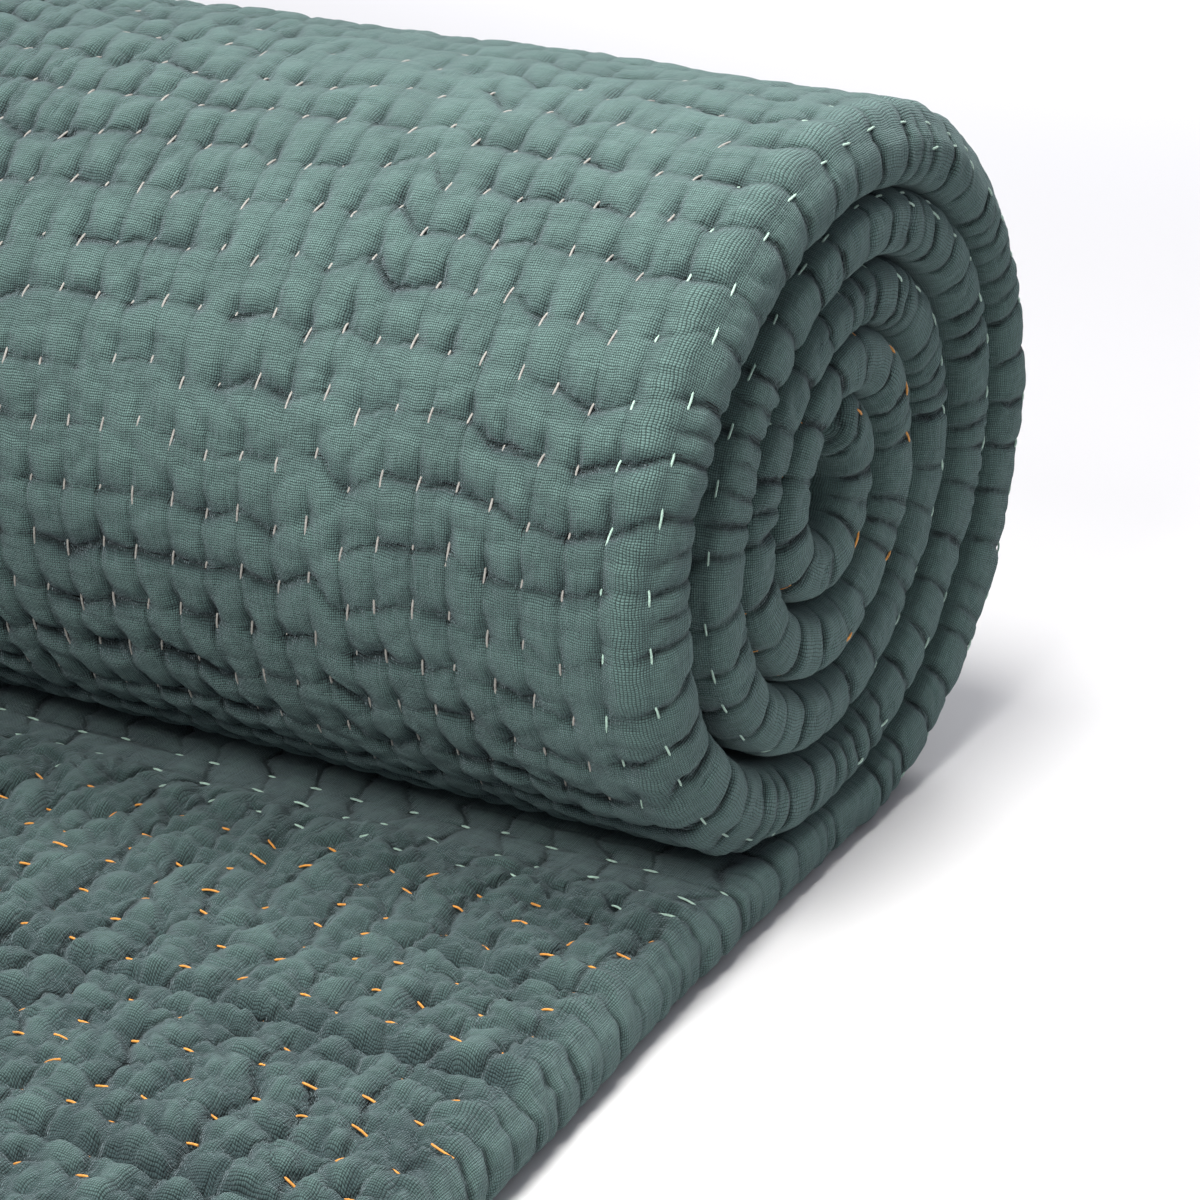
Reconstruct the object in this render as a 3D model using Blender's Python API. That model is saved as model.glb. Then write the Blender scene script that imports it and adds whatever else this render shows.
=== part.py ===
"""Kantha quilt: two layers of hand-quilted muslin, folded in half lengthwise and rolled up.

X runs along the roll, with the quilt's fold at +X and its hems at -X. The free end lies
flat on the surface towards -Y, passes under the roll, climbs its back and winds inwards.
Z is up, and the surface that the quilt rests on is Z = 0. All sizes are in metres.
"""

from math import cos, pi, radians, sin
from random import Random

import bmesh
import bpy
import numpy as np

# The folded quilt
ROLL_LENGTH = 0.500  # fold to hems: half the width of a 1.00 m quilt
FLAP_HALF = 0.0076  # half the thickness of the two layers where they lie free
PRESSED_HALF = 0.0070  # the same, under the weight of the roll
PUFFED_HALF = 0.0082  # the same, where the turns leave room
LEAST_HALF = 0.0068  # the same, where they lie closest
TURN_GAP = 0.0009  # least space between two turns

# The roll, in the plane across its length
ROLL_CENTRE = (0.1045, 0.0885)  # Y and Z of the middle of the outer turns
CORE_CENTRE = (0.0905, 0.0955)  # Y and Z of the middle of the hollow core
FLAP_END_Y = -0.1991
TURNS = 4.40  # turns from the underside to the end inside the core
FIRST_ANGLE = -90.0  # degrees from +Y; the spiral starts at the underside
KNOT_STEP = 45.0  # degrees between two columns of TURN_RADII
TANGENT_STEP = 0.002  # turns each way over which the cloth's direction is measured

# Distance from the centre to the middle of the cloth, a row for each turn:
# bottom, low back, back, high back, top, high front, front, low front
TURN_RADII = (
    (0.0820, 0.0845, 0.0820, 0.0752, 0.0690, 0.0720, 0.0800, 0.0755),
    (0.0683, 0.0670, 0.0700, 0.0605, 0.0520, 0.0490, 0.0545, 0.0545),
    (0.0548, 0.0515, 0.0550, 0.0435, 0.0350, 0.0300, 0.0335, 0.0385),
    (0.0385, 0.0355, 0.0345, 0.0280, 0.0185, 0.0140, 0.0150, 0.0195),
    (0.0230, 0.0200, 0.0175, 0.0125, 0.0080),
)

# How far the fold lies back from the roll's full length, at numbers of turns
EDGE_SETBACK = (
    (0.00, 0.0025),
    (0.25, 0.0000),
    (0.75, 0.0050),
    (1.25, 0.0020),
    (2.25, 0.0045),
    (3.25, 0.0030),
    (4.40, 0.0040),
)

# Quilting. The real rows are 9 mm apart: the solid carries every second one.
ROW_PITCH = 0.0195
ROW_PLACES = (0.0, 0.24, 0.76)  # points across one row: its crease, then its two shoulders
FLAP_COLUMNS = 22
OUTER_STEP = 10.0  # degrees; a crease across the rows lies at every second step
INNER_STEP = 15.0  # degrees
PLAIN_COLUMNS = 2
ROW_PUFF = 0.0021  # rise of the cloth between two rows
STITCH_PUFF = 0.0012  # rise of the cloth between two stitches
PUCKER = 0.0013  # most that the cloth rises beyond that, unevenly
PUCKER_SEED = 7
SCALLOP = 0.0012  # rise of the fold between two creases
WRINKLE = 0.0014  # uneven rise of the face as a whole
FLAP_WRINKLE = 0.0024
RIM_POINTS = 5  # points between the two corners of the rounded fold
HEM_NOTCH = 0.009  # depth of the parting between the two layers at the hems
HEM_ROUND = 0.0022
HEM_HEIGHTS = (0.72, 0.30)  # shares of the half thickness between which a hem is flat

# Where faces are pressed and their quilting dies away: distances along the flap before
# the roll's underside, and turns after it
PRESS_RANGE = (0.120, 0.050)
COVER_RANGE = (0.085, 0.055)
LIFT_RANGE = (0.04, 0.10)
TUCK_RANGE = (0.90, 0.97)
RESTING_TURNS = 0.15  # turns in which the cloth's lower face may not pass the surface
NOSE_ANGLES = (22.0, 50.0)  # degrees, sections that round off a loose end

CLOTH_COLOUR = (0.118, 0.196, 0.180, 1.0)
CLOTH_ROUGHNESS = 0.92


def turn_radius(turns):
    """Radius of the cloth's middle, a uniform cubic B-spline through the table's rows."""
    table = np.concatenate([np.array(row) for row in TURN_RADII])
    position = np.asarray(turns) * 360.0 / KNOT_STEP
    knot = np.floor(position).astype(int)
    part = position - knot
    weights = (
        (1 - part) ** 3 / 6,
        (3 * part**3 - 6 * part**2 + 4) / 6,
        (-3 * part**3 + 3 * part**2 + 3 * part + 1) / 6,
        part**3 / 6,
    )
    total = 0.0
    for offset, weight in zip((-1, 0, 1, 2), weights):
        total = total + weight * table[np.clip(knot + offset, 0, len(table) - 1)]
    return total


def spiral_point(turns):
    """Y and Z of the cloth's middle after so many turns from the underside."""
    turns = np.asarray(turns, float)
    angle = np.radians(FIRST_ANGLE + 360.0 * turns)
    radius = turn_radius(turns)
    inward = turns / TURNS
    y = ROLL_CENTRE[0] + (CORE_CENTRE[0] - ROLL_CENTRE[0]) * inward + radius * np.cos(angle)
    z = ROLL_CENTRE[1] + (CORE_CENTRE[1] - ROLL_CENTRE[1]) * inward + radius * np.sin(angle)
    return np.stack([y, np.maximum(z, PRESSED_HALF)], axis=-1)


def room_half(turns):
    """Half thickness that the space to the next turns out and in leaves at this place."""
    here = spiral_point(turns)
    room = 2 * PUFFED_HALF + TURN_GAP
    for other in (turns - 1.0, turns + 1.0):
        if 0.0 <= other <= TURNS:
            room = min(room, float(np.linalg.norm(spiral_point(other) - here)))
    return (room - TURN_GAP) / 2


def ramp(value, start, end):
    """0 at start, 1 at end, smooth between."""
    part = min(max((value - start) / (end - start), 0.0), 1.0)
    return part * part * (3 - 2 * part)


def unevenness(along, across):
    """A smooth, irregular wave between about -1 and 1 over the cloth."""
    return (
        0.45 * sin(along * 61.0 + 1.3 * sin(across * 23.0))
        + 0.35 * sin(across * 47.0 + 0.9 * sin(along * 37.0) + 1.1)
        + 0.20 * sin(along * 143.0 - across * 89.0 + 2.0)
    )


# Places across the quilt, each with the share of a row's rise there
PLAIN_PLACES = [(index / PLAIN_COLUMNS, 0.0) for index in range(PLAIN_COLUMNS + 1)]
FLAP_PLACES = [(index / FLAP_COLUMNS, float(index % 2)) for index in range(FLAP_COLUMNS + 1)]
ROW_COUNT = round(ROLL_LENGTH / ROW_PITCH)
OUTER_PLACES = [
    ((row + place) / ROW_COUNT, float(place > 0.0))
    for row in range(ROW_COUNT)
    for place in ROW_PLACES
] + [(1.0, 0.0)]


class Station:
    """One section across the folded quilt: its middle, its way outwards and its relief."""

    def __init__(self, middle, tangent, half, along):
        self.middle = middle
        self.out = np.array([tangent[1], -tangent[0]])
        self.half = half
        self.along = along
        self.turns = 0.0
        self.crest = False  # whether it lies between two creases across the cloth
        self.outer_quilting = 0.0
        self.inner_quilting = 0.0
        self.outer_places = PLAIN_PLACES
        self.inner_places = PLAIN_PLACES
        self.length = 1.0  # share of the roll's length and thickness, under 1 on a nose

    def place(self, x, height):
        """World place of a point at x and at a height over the cloth's middle."""
        y, z = self.middle + self.out * height
        return (x, y, z)


def flap_stations():
    """The free end on the surface, from its rounded tip to the underside of the roll."""
    stations = []
    underside = float(spiral_point(0.0)[0])
    start = FLAP_END_Y + FLAP_HALF
    for row in range(int((underside - start) / ROW_PITCH)):
        for place in ROW_PLACES:
            y = start + ROW_PITCH * (row + place)
            pressed = ramp(underside - y, *PRESS_RANGE)
            half = FLAP_HALF + (PRESSED_HALF - FLAP_HALF) * pressed
            station = Station(np.array([y, half]), (1.0, 0.0), half, y - FLAP_END_Y)
            station.crest = place > 0.0
            station.inner_quilting = 1.0 - ramp(underside - y, *COVER_RANGE)
            if station.inner_quilting > 0.0:
                station.inner_places = FLAP_PLACES
            elif place > 0.0:
                continue
            stations.append(station)
    return nose(stations[0], -1.0)[::-1] + stations


def roll_stations(along):
    """The turns, from the underside to the rounded end in the core."""
    stations = []
    turns = 0.0
    index = 0
    previous = spiral_point(0.0)
    while turns <= TURNS:
        here = spiral_point(turns)
        tangent = spiral_point(turns + TANGENT_STEP) - spiral_point(max(turns - TANGENT_STEP, 0.0))
        tangent = tangent / np.linalg.norm(tangent)
        along += float(np.linalg.norm(here - previous))
        previous = here
        half = max(room_half(turns), LEAST_HALF)
        if turns < RESTING_TURNS:
            half = min(half, float(here[1]))
        station = Station(here, tangent, half, along)
        station.turns = turns
        station.crest = index % 2 == 1
        if turns <= 1.0:
            station.outer_places = OUTER_PLACES
            station.outer_quilting = ramp(turns, *LIFT_RANGE) * (1.0 - ramp(turns, *TUCK_RANGE))
        stations.append(station)
        turns += (OUTER_STEP if turns < 1.0 - 1e-6 else INNER_STEP) / 360.0
        index += 1
    return stations + nose(stations[-1], 1.0)


def nose(last, way):
    """Sections that round off the cloth's end past its last full section."""
    forward = np.array([-last.out[1], last.out[0]]) * way
    sections = []
    for angle in NOSE_ANGLES[::-1]:
        reach = last.half * cos(radians(angle))
        section = Station(last.middle + forward * reach, (1.0, 0.0), last.half, last.along)
        section.out = last.out
        section.turns = last.turns
        section.inner_places = last.inner_places
        section.length = sin(radians(angle))
        sections.append(section)
    return sections


def fold_start(turns):
    """The x at which the faces turn into the rounded fold."""
    places, setbacks = zip(*EDGE_SETBACK)
    setback = float(np.interp(turns, places, setbacks))
    return ROLL_LENGTH / 2 - setback - PUFFED_HALF - SCALLOP


def face_row(station, side, random):
    """Points of one face, outer (1) or inner (-1), from the fold to the hems."""
    near = fold_start(station.turns)
    far = -ROLL_LENGTH / 2 + HEM_ROUND
    if side > 0:
        places, quilting = station.outer_places, station.outer_quilting
        rises = (ROW_PUFF, STITCH_PUFF, WRINKLE)
    else:
        places, quilting = station.inner_places, station.inner_quilting
        rises = (STITCH_PUFF, ROW_PUFF, FLAP_WRINKLE)
    points = []
    for place, share in places:
        x = near + (far - near) * place
        rise = 0.0
        if 0.0 < place < 1.0 and quilting > 0.0:
            rise = rises[0] * share + rises[1] * station.crest
            rise += rises[2] * (1.0 + unevenness(station.along, x)) / 2
            rise += PUCKER * random.random()
        height = station.half * station.length + quilting * rise
        points.append(station.place(x, side * height))
    return points


def fold_row(station):
    """Points around the rounded fold at +X, from the inner face to the outer one."""
    half = station.half * station.length
    start = fold_start(station.turns)
    reach = (PUFFED_HALF + SCALLOP * station.crest) * (0.5 + 0.5 * station.length)
    points = []
    for index in range(RIM_POINTS):
        angle = pi * (index + 1) / (RIM_POINTS + 1)
        points.append(station.place(start + reach * sin(angle), -half * cos(angle)))
    return points


def hem_row(station):
    """Points down the hems at -X, from the outer face to the inner one, parted between."""
    half = station.half * station.length
    end = -ROLL_LENGTH / 2
    notch = end + HEM_NOTCH * station.length
    layer = [half * height for height in HEM_HEIGHTS]
    points = [(end, height) for height in layer]
    points += [(notch, 0.0)] + [(end, -height) for height in reversed(layer)]
    return [station.place(x, height) for x, height in points]


def strip(mesh, first, second):
    """Faces between two rows of points, also where their numbers differ."""
    last_a, last_b = len(first) - 1, len(second) - 1
    if last_a == last_b:
        for index in range(last_a):
            mesh.faces.new((first[index], first[index + 1], second[index + 1], second[index]))
        return
    a = b = 0
    while a < last_a or b < last_b:
        if b == last_b or (a < last_a and (a + 1) / last_a <= (b + 1) / last_b):
            mesh.faces.new((first[a], first[a + 1], second[b]))
            a += 1
        else:
            mesh.faces.new((first[a], second[b + 1], second[b]))
            b += 1


def section_rows(mesh, station, random):
    """The four rows of a section as mesh points; neighbours share their corners."""
    outer = [mesh.verts.new(point) for point in face_row(station, 1, random)]
    inner = [mesh.verts.new(point) for point in reversed(face_row(station, -1, random))]
    hems = [mesh.verts.new(point) for point in hem_row(station)]
    fold = [mesh.verts.new(point) for point in fold_row(station)]
    return (
        outer,
        [outer[-1]] + hems + [inner[0]],
        inner,
        [inner[-1]] + fold + [outer[0]],
    )


def cloth_material():
    material = bpy.data.materials.new("quilt_cloth")
    material.use_nodes = True
    shader = material.node_tree.nodes["Principled BSDF"]
    shader.inputs["Base Color"].default_value = CLOTH_COLOUR
    shader.inputs["Roughness"].default_value = CLOTH_ROUGHNESS
    return material


def build_quilt(collection):
    flap = flap_stations()
    stations = flap + roll_stations(float(spiral_point(0.0)[0]) - FLAP_END_Y)
    mesh = bmesh.new()
    random = Random(PUCKER_SEED)
    sections = [section_rows(mesh, station, random) for station in stations]
    for before, after in zip(sections, sections[1:]):
        for first, second in zip(before, after):
            strip(mesh, first, second)
    for rows in (sections[0], sections[-1]):
        mesh.faces.new([point for row in rows for point in row[:-1]])
    bmesh.ops.recalc_face_normals(mesh, faces=mesh.faces)
    bmesh.ops.triangulate(mesh, faces=mesh.faces)
    data = bpy.data.meshes.new("quilt")
    mesh.to_mesh(data)
    mesh.free()
    data.materials.append(cloth_material())
    data.shade_smooth()
    quilt = bpy.data.objects.new("quilt", data)
    collection.objects.link(quilt)
    return quilt


def main():
    for old in list(bpy.data.objects):
        bpy.data.objects.remove(old, do_unlink=True)
    collection = bpy.data.collections.new("kantha_quilt")
    bpy.context.scene.collection.children.link(collection)
    build_quilt(collection)


main()
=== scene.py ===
"""Looks of the rolled kantha quilt: puckered muslin, rows of hand stitches and a plain studio.

The quilt is two layers of quilted muslin, folded in half lengthwise and rolled up. A place on
its cloth is given by two lengths in metres: "along", from the loose end on the floor to the
end inside the roll, and "across", from the middle of the rounded fold at +X towards the hems
at -X, which is positive on the face that is outside on the roll and negative on the other.
"""

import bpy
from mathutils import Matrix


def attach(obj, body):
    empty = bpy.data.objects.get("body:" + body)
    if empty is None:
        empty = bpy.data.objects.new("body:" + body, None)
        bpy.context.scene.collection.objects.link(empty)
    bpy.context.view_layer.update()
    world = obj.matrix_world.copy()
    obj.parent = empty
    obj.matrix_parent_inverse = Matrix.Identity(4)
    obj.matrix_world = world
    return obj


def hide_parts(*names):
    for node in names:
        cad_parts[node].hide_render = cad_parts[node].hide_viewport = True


bl_info = {
    "name": "Rolled Kantha Quilt",
    "version": (1, 0, 0),
    "blender": (4, 5, 0),
    "location": "View3D > Sidebar > Quilt",
    "description": "Puckered muslin, hand stitches and a studio for the rolled quilt",
    "category": "Add Mesh",
}

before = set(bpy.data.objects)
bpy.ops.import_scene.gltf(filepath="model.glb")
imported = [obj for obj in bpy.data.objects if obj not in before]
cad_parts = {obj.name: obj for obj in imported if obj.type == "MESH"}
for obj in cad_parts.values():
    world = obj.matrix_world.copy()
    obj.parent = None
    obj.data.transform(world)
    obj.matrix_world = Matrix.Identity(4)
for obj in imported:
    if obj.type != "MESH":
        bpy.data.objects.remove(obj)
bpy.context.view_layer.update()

from math import cos, pi, radians, sin

import bpy
import numpy as np
from mathutils import Vector

NODE = "quilt"
BODY = "root"

# The section across the roll, as in the part's own source
ROLL_LENGTH = 0.500
FLAP_HALF = 0.0076
PRESSED_HALF = 0.0070
PUFFED_HALF = 0.0082
LEAST_HALF = 0.0068
TURN_GAP = 0.0009
ROLL_CENTRE = (0.1045, 0.0885)
CORE_CENTRE = (0.0905, 0.0955)
FLAP_END_Y = -0.1991
TURNS = 4.40
FIRST_ANGLE = -90.0
KNOT_STEP = 45.0
TURN_RADII = (
    (0.0820, 0.0845, 0.0820, 0.0752, 0.0690, 0.0720, 0.0800, 0.0755),
    (0.0683, 0.0670, 0.0700, 0.0605, 0.0520, 0.0490, 0.0545, 0.0545),
    (0.0548, 0.0515, 0.0550, 0.0435, 0.0350, 0.0300, 0.0335, 0.0385),
    (0.0385, 0.0355, 0.0345, 0.0280, 0.0185, 0.0140, 0.0150, 0.0195),
    (0.0230, 0.0200, 0.0175, 0.0125, 0.0080),
)
EDGE_SETBACK = (
    (0.00, 0.0025),
    (0.25, 0.0000),
    (0.75, 0.0050),
    (1.25, 0.0020),
    (2.25, 0.0045),
    (3.25, 0.0030),
    (4.40, 0.0040),
)
SCALLOP = 0.0012
PRESS_RANGE = (0.120, 0.050)
COVER_RANGE = (0.076, 0.056)
CALM_RANGE = (0.12, 0.22)  # where the loose end gets flatter, counted from its tip
LIFT_RANGE = (0.04, 0.10)
TUCK_RANGE = (0.90, 0.97)
RESTING_TURNS = 0.15

# Where the cloth differs from that section
TOP_SINK = (0.0026, 0.0042)  # how far the roll's top sags, near the fold and farther on
SINK_PLACES = (0.20, -0.05)  # between these places along X it changes from one to the other
SINK_HEIGHTS = (0.055, 0.175)  # it sets in at the first height and is full at the second
FLAP_SPREAD = 0.0065  # how far the loose end's fold lies further out at its tip
SPREAD_RANGE = (0.05, 0.22)  # distances from under the roll between which that grows

# The rounded fold and the hems
FOLD_ARC = 0.0126  # across the cloth, from the middle of the fold to the flat face
FOLD_START = ROLL_LENGTH / 2 - PUFFED_HALF - SCALLOP
FOLD_SQUARE = 0.80  # exponent of the fold's outline, under 1 for a squarer one
HEM_X = -ROLL_LENGTH / 2 + 0.0040
HEM_REACH = 0.0036
HEM_UNEVEN = 0.25  # share by which a hem's reach varies
HEM_PARTING = 0.0030  # how deep the parting between the two hems is
HEM_PAST = 0.0010  # how far a hem may stand past the part's end
FACE_END = FOLD_ARC + FOLD_START - HEM_X
SETBACK_FADE = 0.12
FACE_RANGE = (0.0050, 0.0125)  # where the fold's sewing gives way to the faces
QUIET_RANGE = (0.002, 0.010)  # the fold's creases set in beside the line under the roll

# What is kept about the sewing at each point of the cloth; the puff mark also carries the painted
# shade that darkens the cloth's colour in its hollows
MARKS = ("stitch", "row", "crease", "between", "channel", "puff")
ATTRIBUTES = {"cells": ("stitch", "row", "puff"), "pulls": ("crease", "between", "channel")}
TURNED_STITCHES = 1.9  # past this many turns the stitches at the fold run across
ORANGE_TURNS = 2.7  # and past this many they are orange
MINT_STRIP_Y = 0.026  # behind this the stitches on the loose end are mint
MINT_ROWS = 2  # rows nearest to the fold that are mint on the roll
HEM_MARGIN = 0.004  # no stitch is nearer to a hem than this
END_MARGIN = 0.006  # or to the end inside the roll
COVER_MARGIN = 0.004  # or to the line where the roll covers the loose end
FLAP_FIRST = 0.007  # the loose end's stitches start this far from the middle of the fold
FIRST_TURNS = 0.05  # and the roll's stitches this many turns from its underside
TURNED_BACK = 0.15  # share of the cloth's outward direction from which a fold faces +Y
SHOWN_IN_FOLDS = (0.85, 0.50)  # share of the stitches seen in mint folds and in orange ones
FOLD_STITCH_PLACE = (0.0012, 0.0030)  # least distance from the fold's middle, and its range
FOLD_STITCH_LENGTH = (0.0024, 0.0014)  # least length, and its range

# Heights over the plain outline, in metres, by what makes them
FOLD_HEIGHTS = {
    "base": -0.0006,
    "puff": 0.0019,
    "swell": 0.0008,
    "fine": 0.00032,
    "wrinkle": 0.0013,
}
ROLL_HEIGHTS = {
    "base": 0.0014,
    "puff": 0.0016,
    "puff_low": 0.0008,
    "puff_top": 0.0008,
    "pinch": 0.0011,
    "swell": 0.0011,
    "shingle": 0.0008,
    "ridge": 0.0006,
    "slit": 0.0018,
    "fine": 0.00020,
}
FLAP_HEIGHTS = {
    "base": 0.0018,
    "puff": 0.0029,
    "puff_calm": 0.0011,
    "pinch": 0.0011,
    "swell": 0.0012,
    "ridge": 0.0020,
    "ridge_pillowed": 0.0012,
    "deep": 0.0020,
    "cross": 0.0014,
    "short": 0.0017,
    "fine": 0.00036,
    "uneven": 0.0009,
}
HIDDEN_HEIGHTS = {"base": 0.0002, "crease": 0.0012}
BESIDE_FOLD = {"base": 0.0002, "crease": 0.0013}

# Shares of the sewing's strength on the two faces
ROLL_CREASES = {
    "base": 0.90,
    "zone": 0.38,
    "deeper": 0.25,
    "low": 0.45,
    "least": 0.35,
    "top": 0.20,
    "first_row": 0.70,
}
ROLL_CHANNELS = {"base": 0.44, "zone": 0.50, "deeper": 0.25, "low": 0.42, "least": 0.12}
FLAP_CREASES = {"base": 1.35, "pillowed": 0.35, "zone": 0.30}
FLAP_CHANNELS = {"base": 0.38, "pillowed": 0.42, "zone": 0.20, "gathered": 0.95}

# How much painted shade darkens the cloth's colour there: in dimples, creases and wrinkles, on the
# roll's low front and over the whole loose end
ROLL_PAINTED_SHADE = {"pinch": 0.35, "low": 0.20, "slit": 0.5, "ridge": 0.25}
FLAP_PAINTED_SHADE = {
    "puff": 0.92,
    "pinch": 0.30,
    "cross": 0.70,
    "short": 0.75,
    "ridge": 0.80,
    "calm": 0.25,
    "deep": 0.60,
    "whole": 0.88,
}

# Parts of the cloth where the sewing differs
DEEPER_RANGE = (0.07, 0.21)  # away from the fold it draws in more
TOP_RANGE = (0.26, 0.35)  # up to here, counted from under the roll, is the roll's top
LOW_RANGE = (0.35, 0.45)  # and from here on the low part of its front
FIRST_ROW_RANGE = (0.7, -0.4)  # rows, before the first of which the creases fade
PILLOWED_RANGE = (0.085, 0.165)  # up to here the loose end is pillowed
PILLOWED_SLANT = 0.25
GATHER_STITCHES = 7.0  # length of the long deep creases on the loose end
GATHER_RANGE = (0.26, 0.60)
WANDER_SIZES = (0.0011, 0.0007)  # how far the sewing wanders along and across the roll
FLAP_WANDER = (2.0, 2.6)  # and how many times more on the loose end
FOLD_LINES = 1.4  # how much stronger the fold's crease lines are drawn
JOINING = 2.6  # exponent by which creases and channels join on the loose end

# Widths of what the sewing draws in, in metres
CREASE_WIDTHS = (0.0026, 0.0034)  # its round bottom and its sharp one
CHANNEL_WIDTH = 0.0018
PINCH_BEFORE = 0.0021  # how far before its stitch a pinch on the roll lies
ROLL_PINCH = (0.0024, 0.0015)  # along its row and beside it
FLAP_PINCH = (0.0026, 0.0017)
DEEP_WIDTH = 0.0024
FOLD_CREASE_WIDTHS = (0.0058, 0.0024)

# Grid of the cloth's mesh
ALONG_STEP = 0.00112
FINE_STEP = 0.00108
PLAIN_STEP = 0.00170
FINE_WIDTH = 0.205
EDGE_WIDTH = 0.022
HIDDEN_COLUMNS = 7
HEM_COLUMNS = 9
END_ROWS = 6  # on each rounded end of the cloth
FLAP_SHOWN_Y = 0.062


# ---------------------------------------------------------------- numbers


def ramp(value, start, end):
    """0 at start, 1 at end, smooth between."""
    part = np.clip((value - start) / (end - start), 0.0, 1.0)
    return part * part * (3 - 2 * part)


def valley(distance, width):
    """1 on a crease's line, falling to 0 at its width, with a sharp bottom."""
    return np.clip(1.0 - np.abs(distance) / width, 0.0, 1.0) ** 2


def trough(distance, width):
    """1 on a crease's line, falling off smoothly, with a round bottom."""
    return np.exp(-((distance / width) ** 2))


class Unevenness:
    """Smooth irregular waves between about -1 and 1 over two coordinates, from a fixed seed."""

    SIZE = 128

    def __init__(self, seed):
        angles = np.random.default_rng(seed).random((self.SIZE, self.SIZE)) * 2 * pi
        self.slopes = np.cos(angles), np.sin(angles)

    def at(self, first, second):
        """The wave's height at two coordinates, in steps of its own grid."""
        column, row = np.floor(first).astype(int), np.floor(second).astype(int)
        a, b = first - column, second - row
        fade_a, fade_b = ramp(a, 0.0, 1.0), ramp(b, 0.0, 1.0)
        corners = []
        for i in (0, 1):
            for j in (0, 1):
                place = (column + i) % self.SIZE, (row + j) % self.SIZE
                corners.append(self.slopes[0][place] * (a - i) + self.slopes[1][place] * (b - j))
        near = corners[0] * (1 - fade_b) + corners[1] * fade_b
        far = corners[2] * (1 - fade_b) + corners[3] * fade_b
        return 1.5 * (near * (1 - fade_a) + far * fade_a)


WAVES = Unevenness(3)
WANDER = Unevenness(4)
WRINKLES = Unevenness(5)
CRUMPLE = Unevenness(6)


class Pattern:
    """One part of some waves, drawn out over sizes in metres along and across the cloth."""

    def __init__(self, waves, along, across, part_along=0.0, part_across=0.0):
        self.waves = waves
        self.sizes = along, across
        self.part = part_along, part_across

    def at(self, along, across):
        """The pattern's height at a place on the cloth."""
        first = along / self.sizes[0] + self.part[0]
        return self.waves.at(first, across / self.sizes[1] + self.part[1])

    def lines(self, along, across):
        """1 on the winding lines where the pattern is 0, and less beside them."""
        return 1.0 - np.abs(self.at(along, across))


WANDER_PATTERNS = {
    "along": Pattern(WANDER, 0.017, 0.021),
    "across": Pattern(WANDER, 0.023, 0.014, 40.0, 9.0),
}
FOLD_PATTERNS = {
    "left": Pattern(WAVES, 0.0085, 0.0065, 12.0),
    "swell": Pattern(WAVES, 0.021, 0.016),
    "fine": Pattern(CRUMPLE, 0.0044, 0.0042),
    "wrinkle": Pattern(WRINKLES, 0.0068, 0.011, 0.0, 5.0),
    "some": Pattern(WANDER, 0.016, 0.010, 30.0),
}
ROLL_PATTERNS = {
    "zone": Pattern(WAVES, 0.048, 0.037, 20.0, 7.0),
    "swell": Pattern(WAVES, 0.034, 0.041),
    "ridge": Pattern(WRINKLES, 0.0075, 0.016),
    "slit": Pattern(WRINKLES, 0.024, 0.0105, 15.0),
    "fine": Pattern(CRUMPLE, 0.0042, 0.0058),
}
FLAP_PATTERNS = {
    "zone": Pattern(WAVES, 0.052, 0.044, 20.0, 7.0),
    "swell": Pattern(WAVES, 0.055, 0.030),
    "ridge": Pattern(WRINKLES, 0.030, 0.0105),
    "cross": Pattern(WRINKLES, 0.0072, 0.013, 30.0),
    "short": Pattern(WRINKLES, 0.0120, 0.0060, 70.0),
    "fine": Pattern(CRUMPLE, 0.0050, 0.0038),
    "uneven": Pattern(WRINKLES, 0.0100, 0.0110, 60.0),
}


# ---------------------------------------------------------------- the rolled section


def turn_radius(turns):
    """Radius of the spiral after a number of turns, smooth between the table's knots."""
    table = np.concatenate([np.array(row) for row in TURN_RADII])
    position = turns * 360.0 / KNOT_STEP
    knot = np.floor(position).astype(int)
    part = position - knot
    weights = (
        (1 - part) ** 3 / 6,
        (3 * part**3 - 6 * part**2 + 4) / 6,
        (-3 * part**3 + 3 * part**2 + 3 * part + 1) / 6,
        part**3 / 6,
    )
    total = 0.0
    for offset, weight in zip((-1, 0, 1, 2), weights):
        total = total + weight * table[np.clip(knot + offset, 0, len(table) - 1)]
    return total


def spiral_point(turns):
    """Place (y, z) of the cloth's middle line after a number of turns."""
    angle = np.radians(FIRST_ANGLE + 360.0 * turns)
    radius = turn_radius(turns)
    inward = turns / TURNS
    y = ROLL_CENTRE[0] + (CORE_CENTRE[0] - ROLL_CENTRE[0]) * inward + radius * np.cos(angle)
    z = ROLL_CENTRE[1] + (CORE_CENTRE[1] - ROLL_CENTRE[1]) * inward + radius * np.sin(angle)
    return np.stack([y, np.maximum(z, PRESSED_HALF)], axis=-1)


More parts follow.
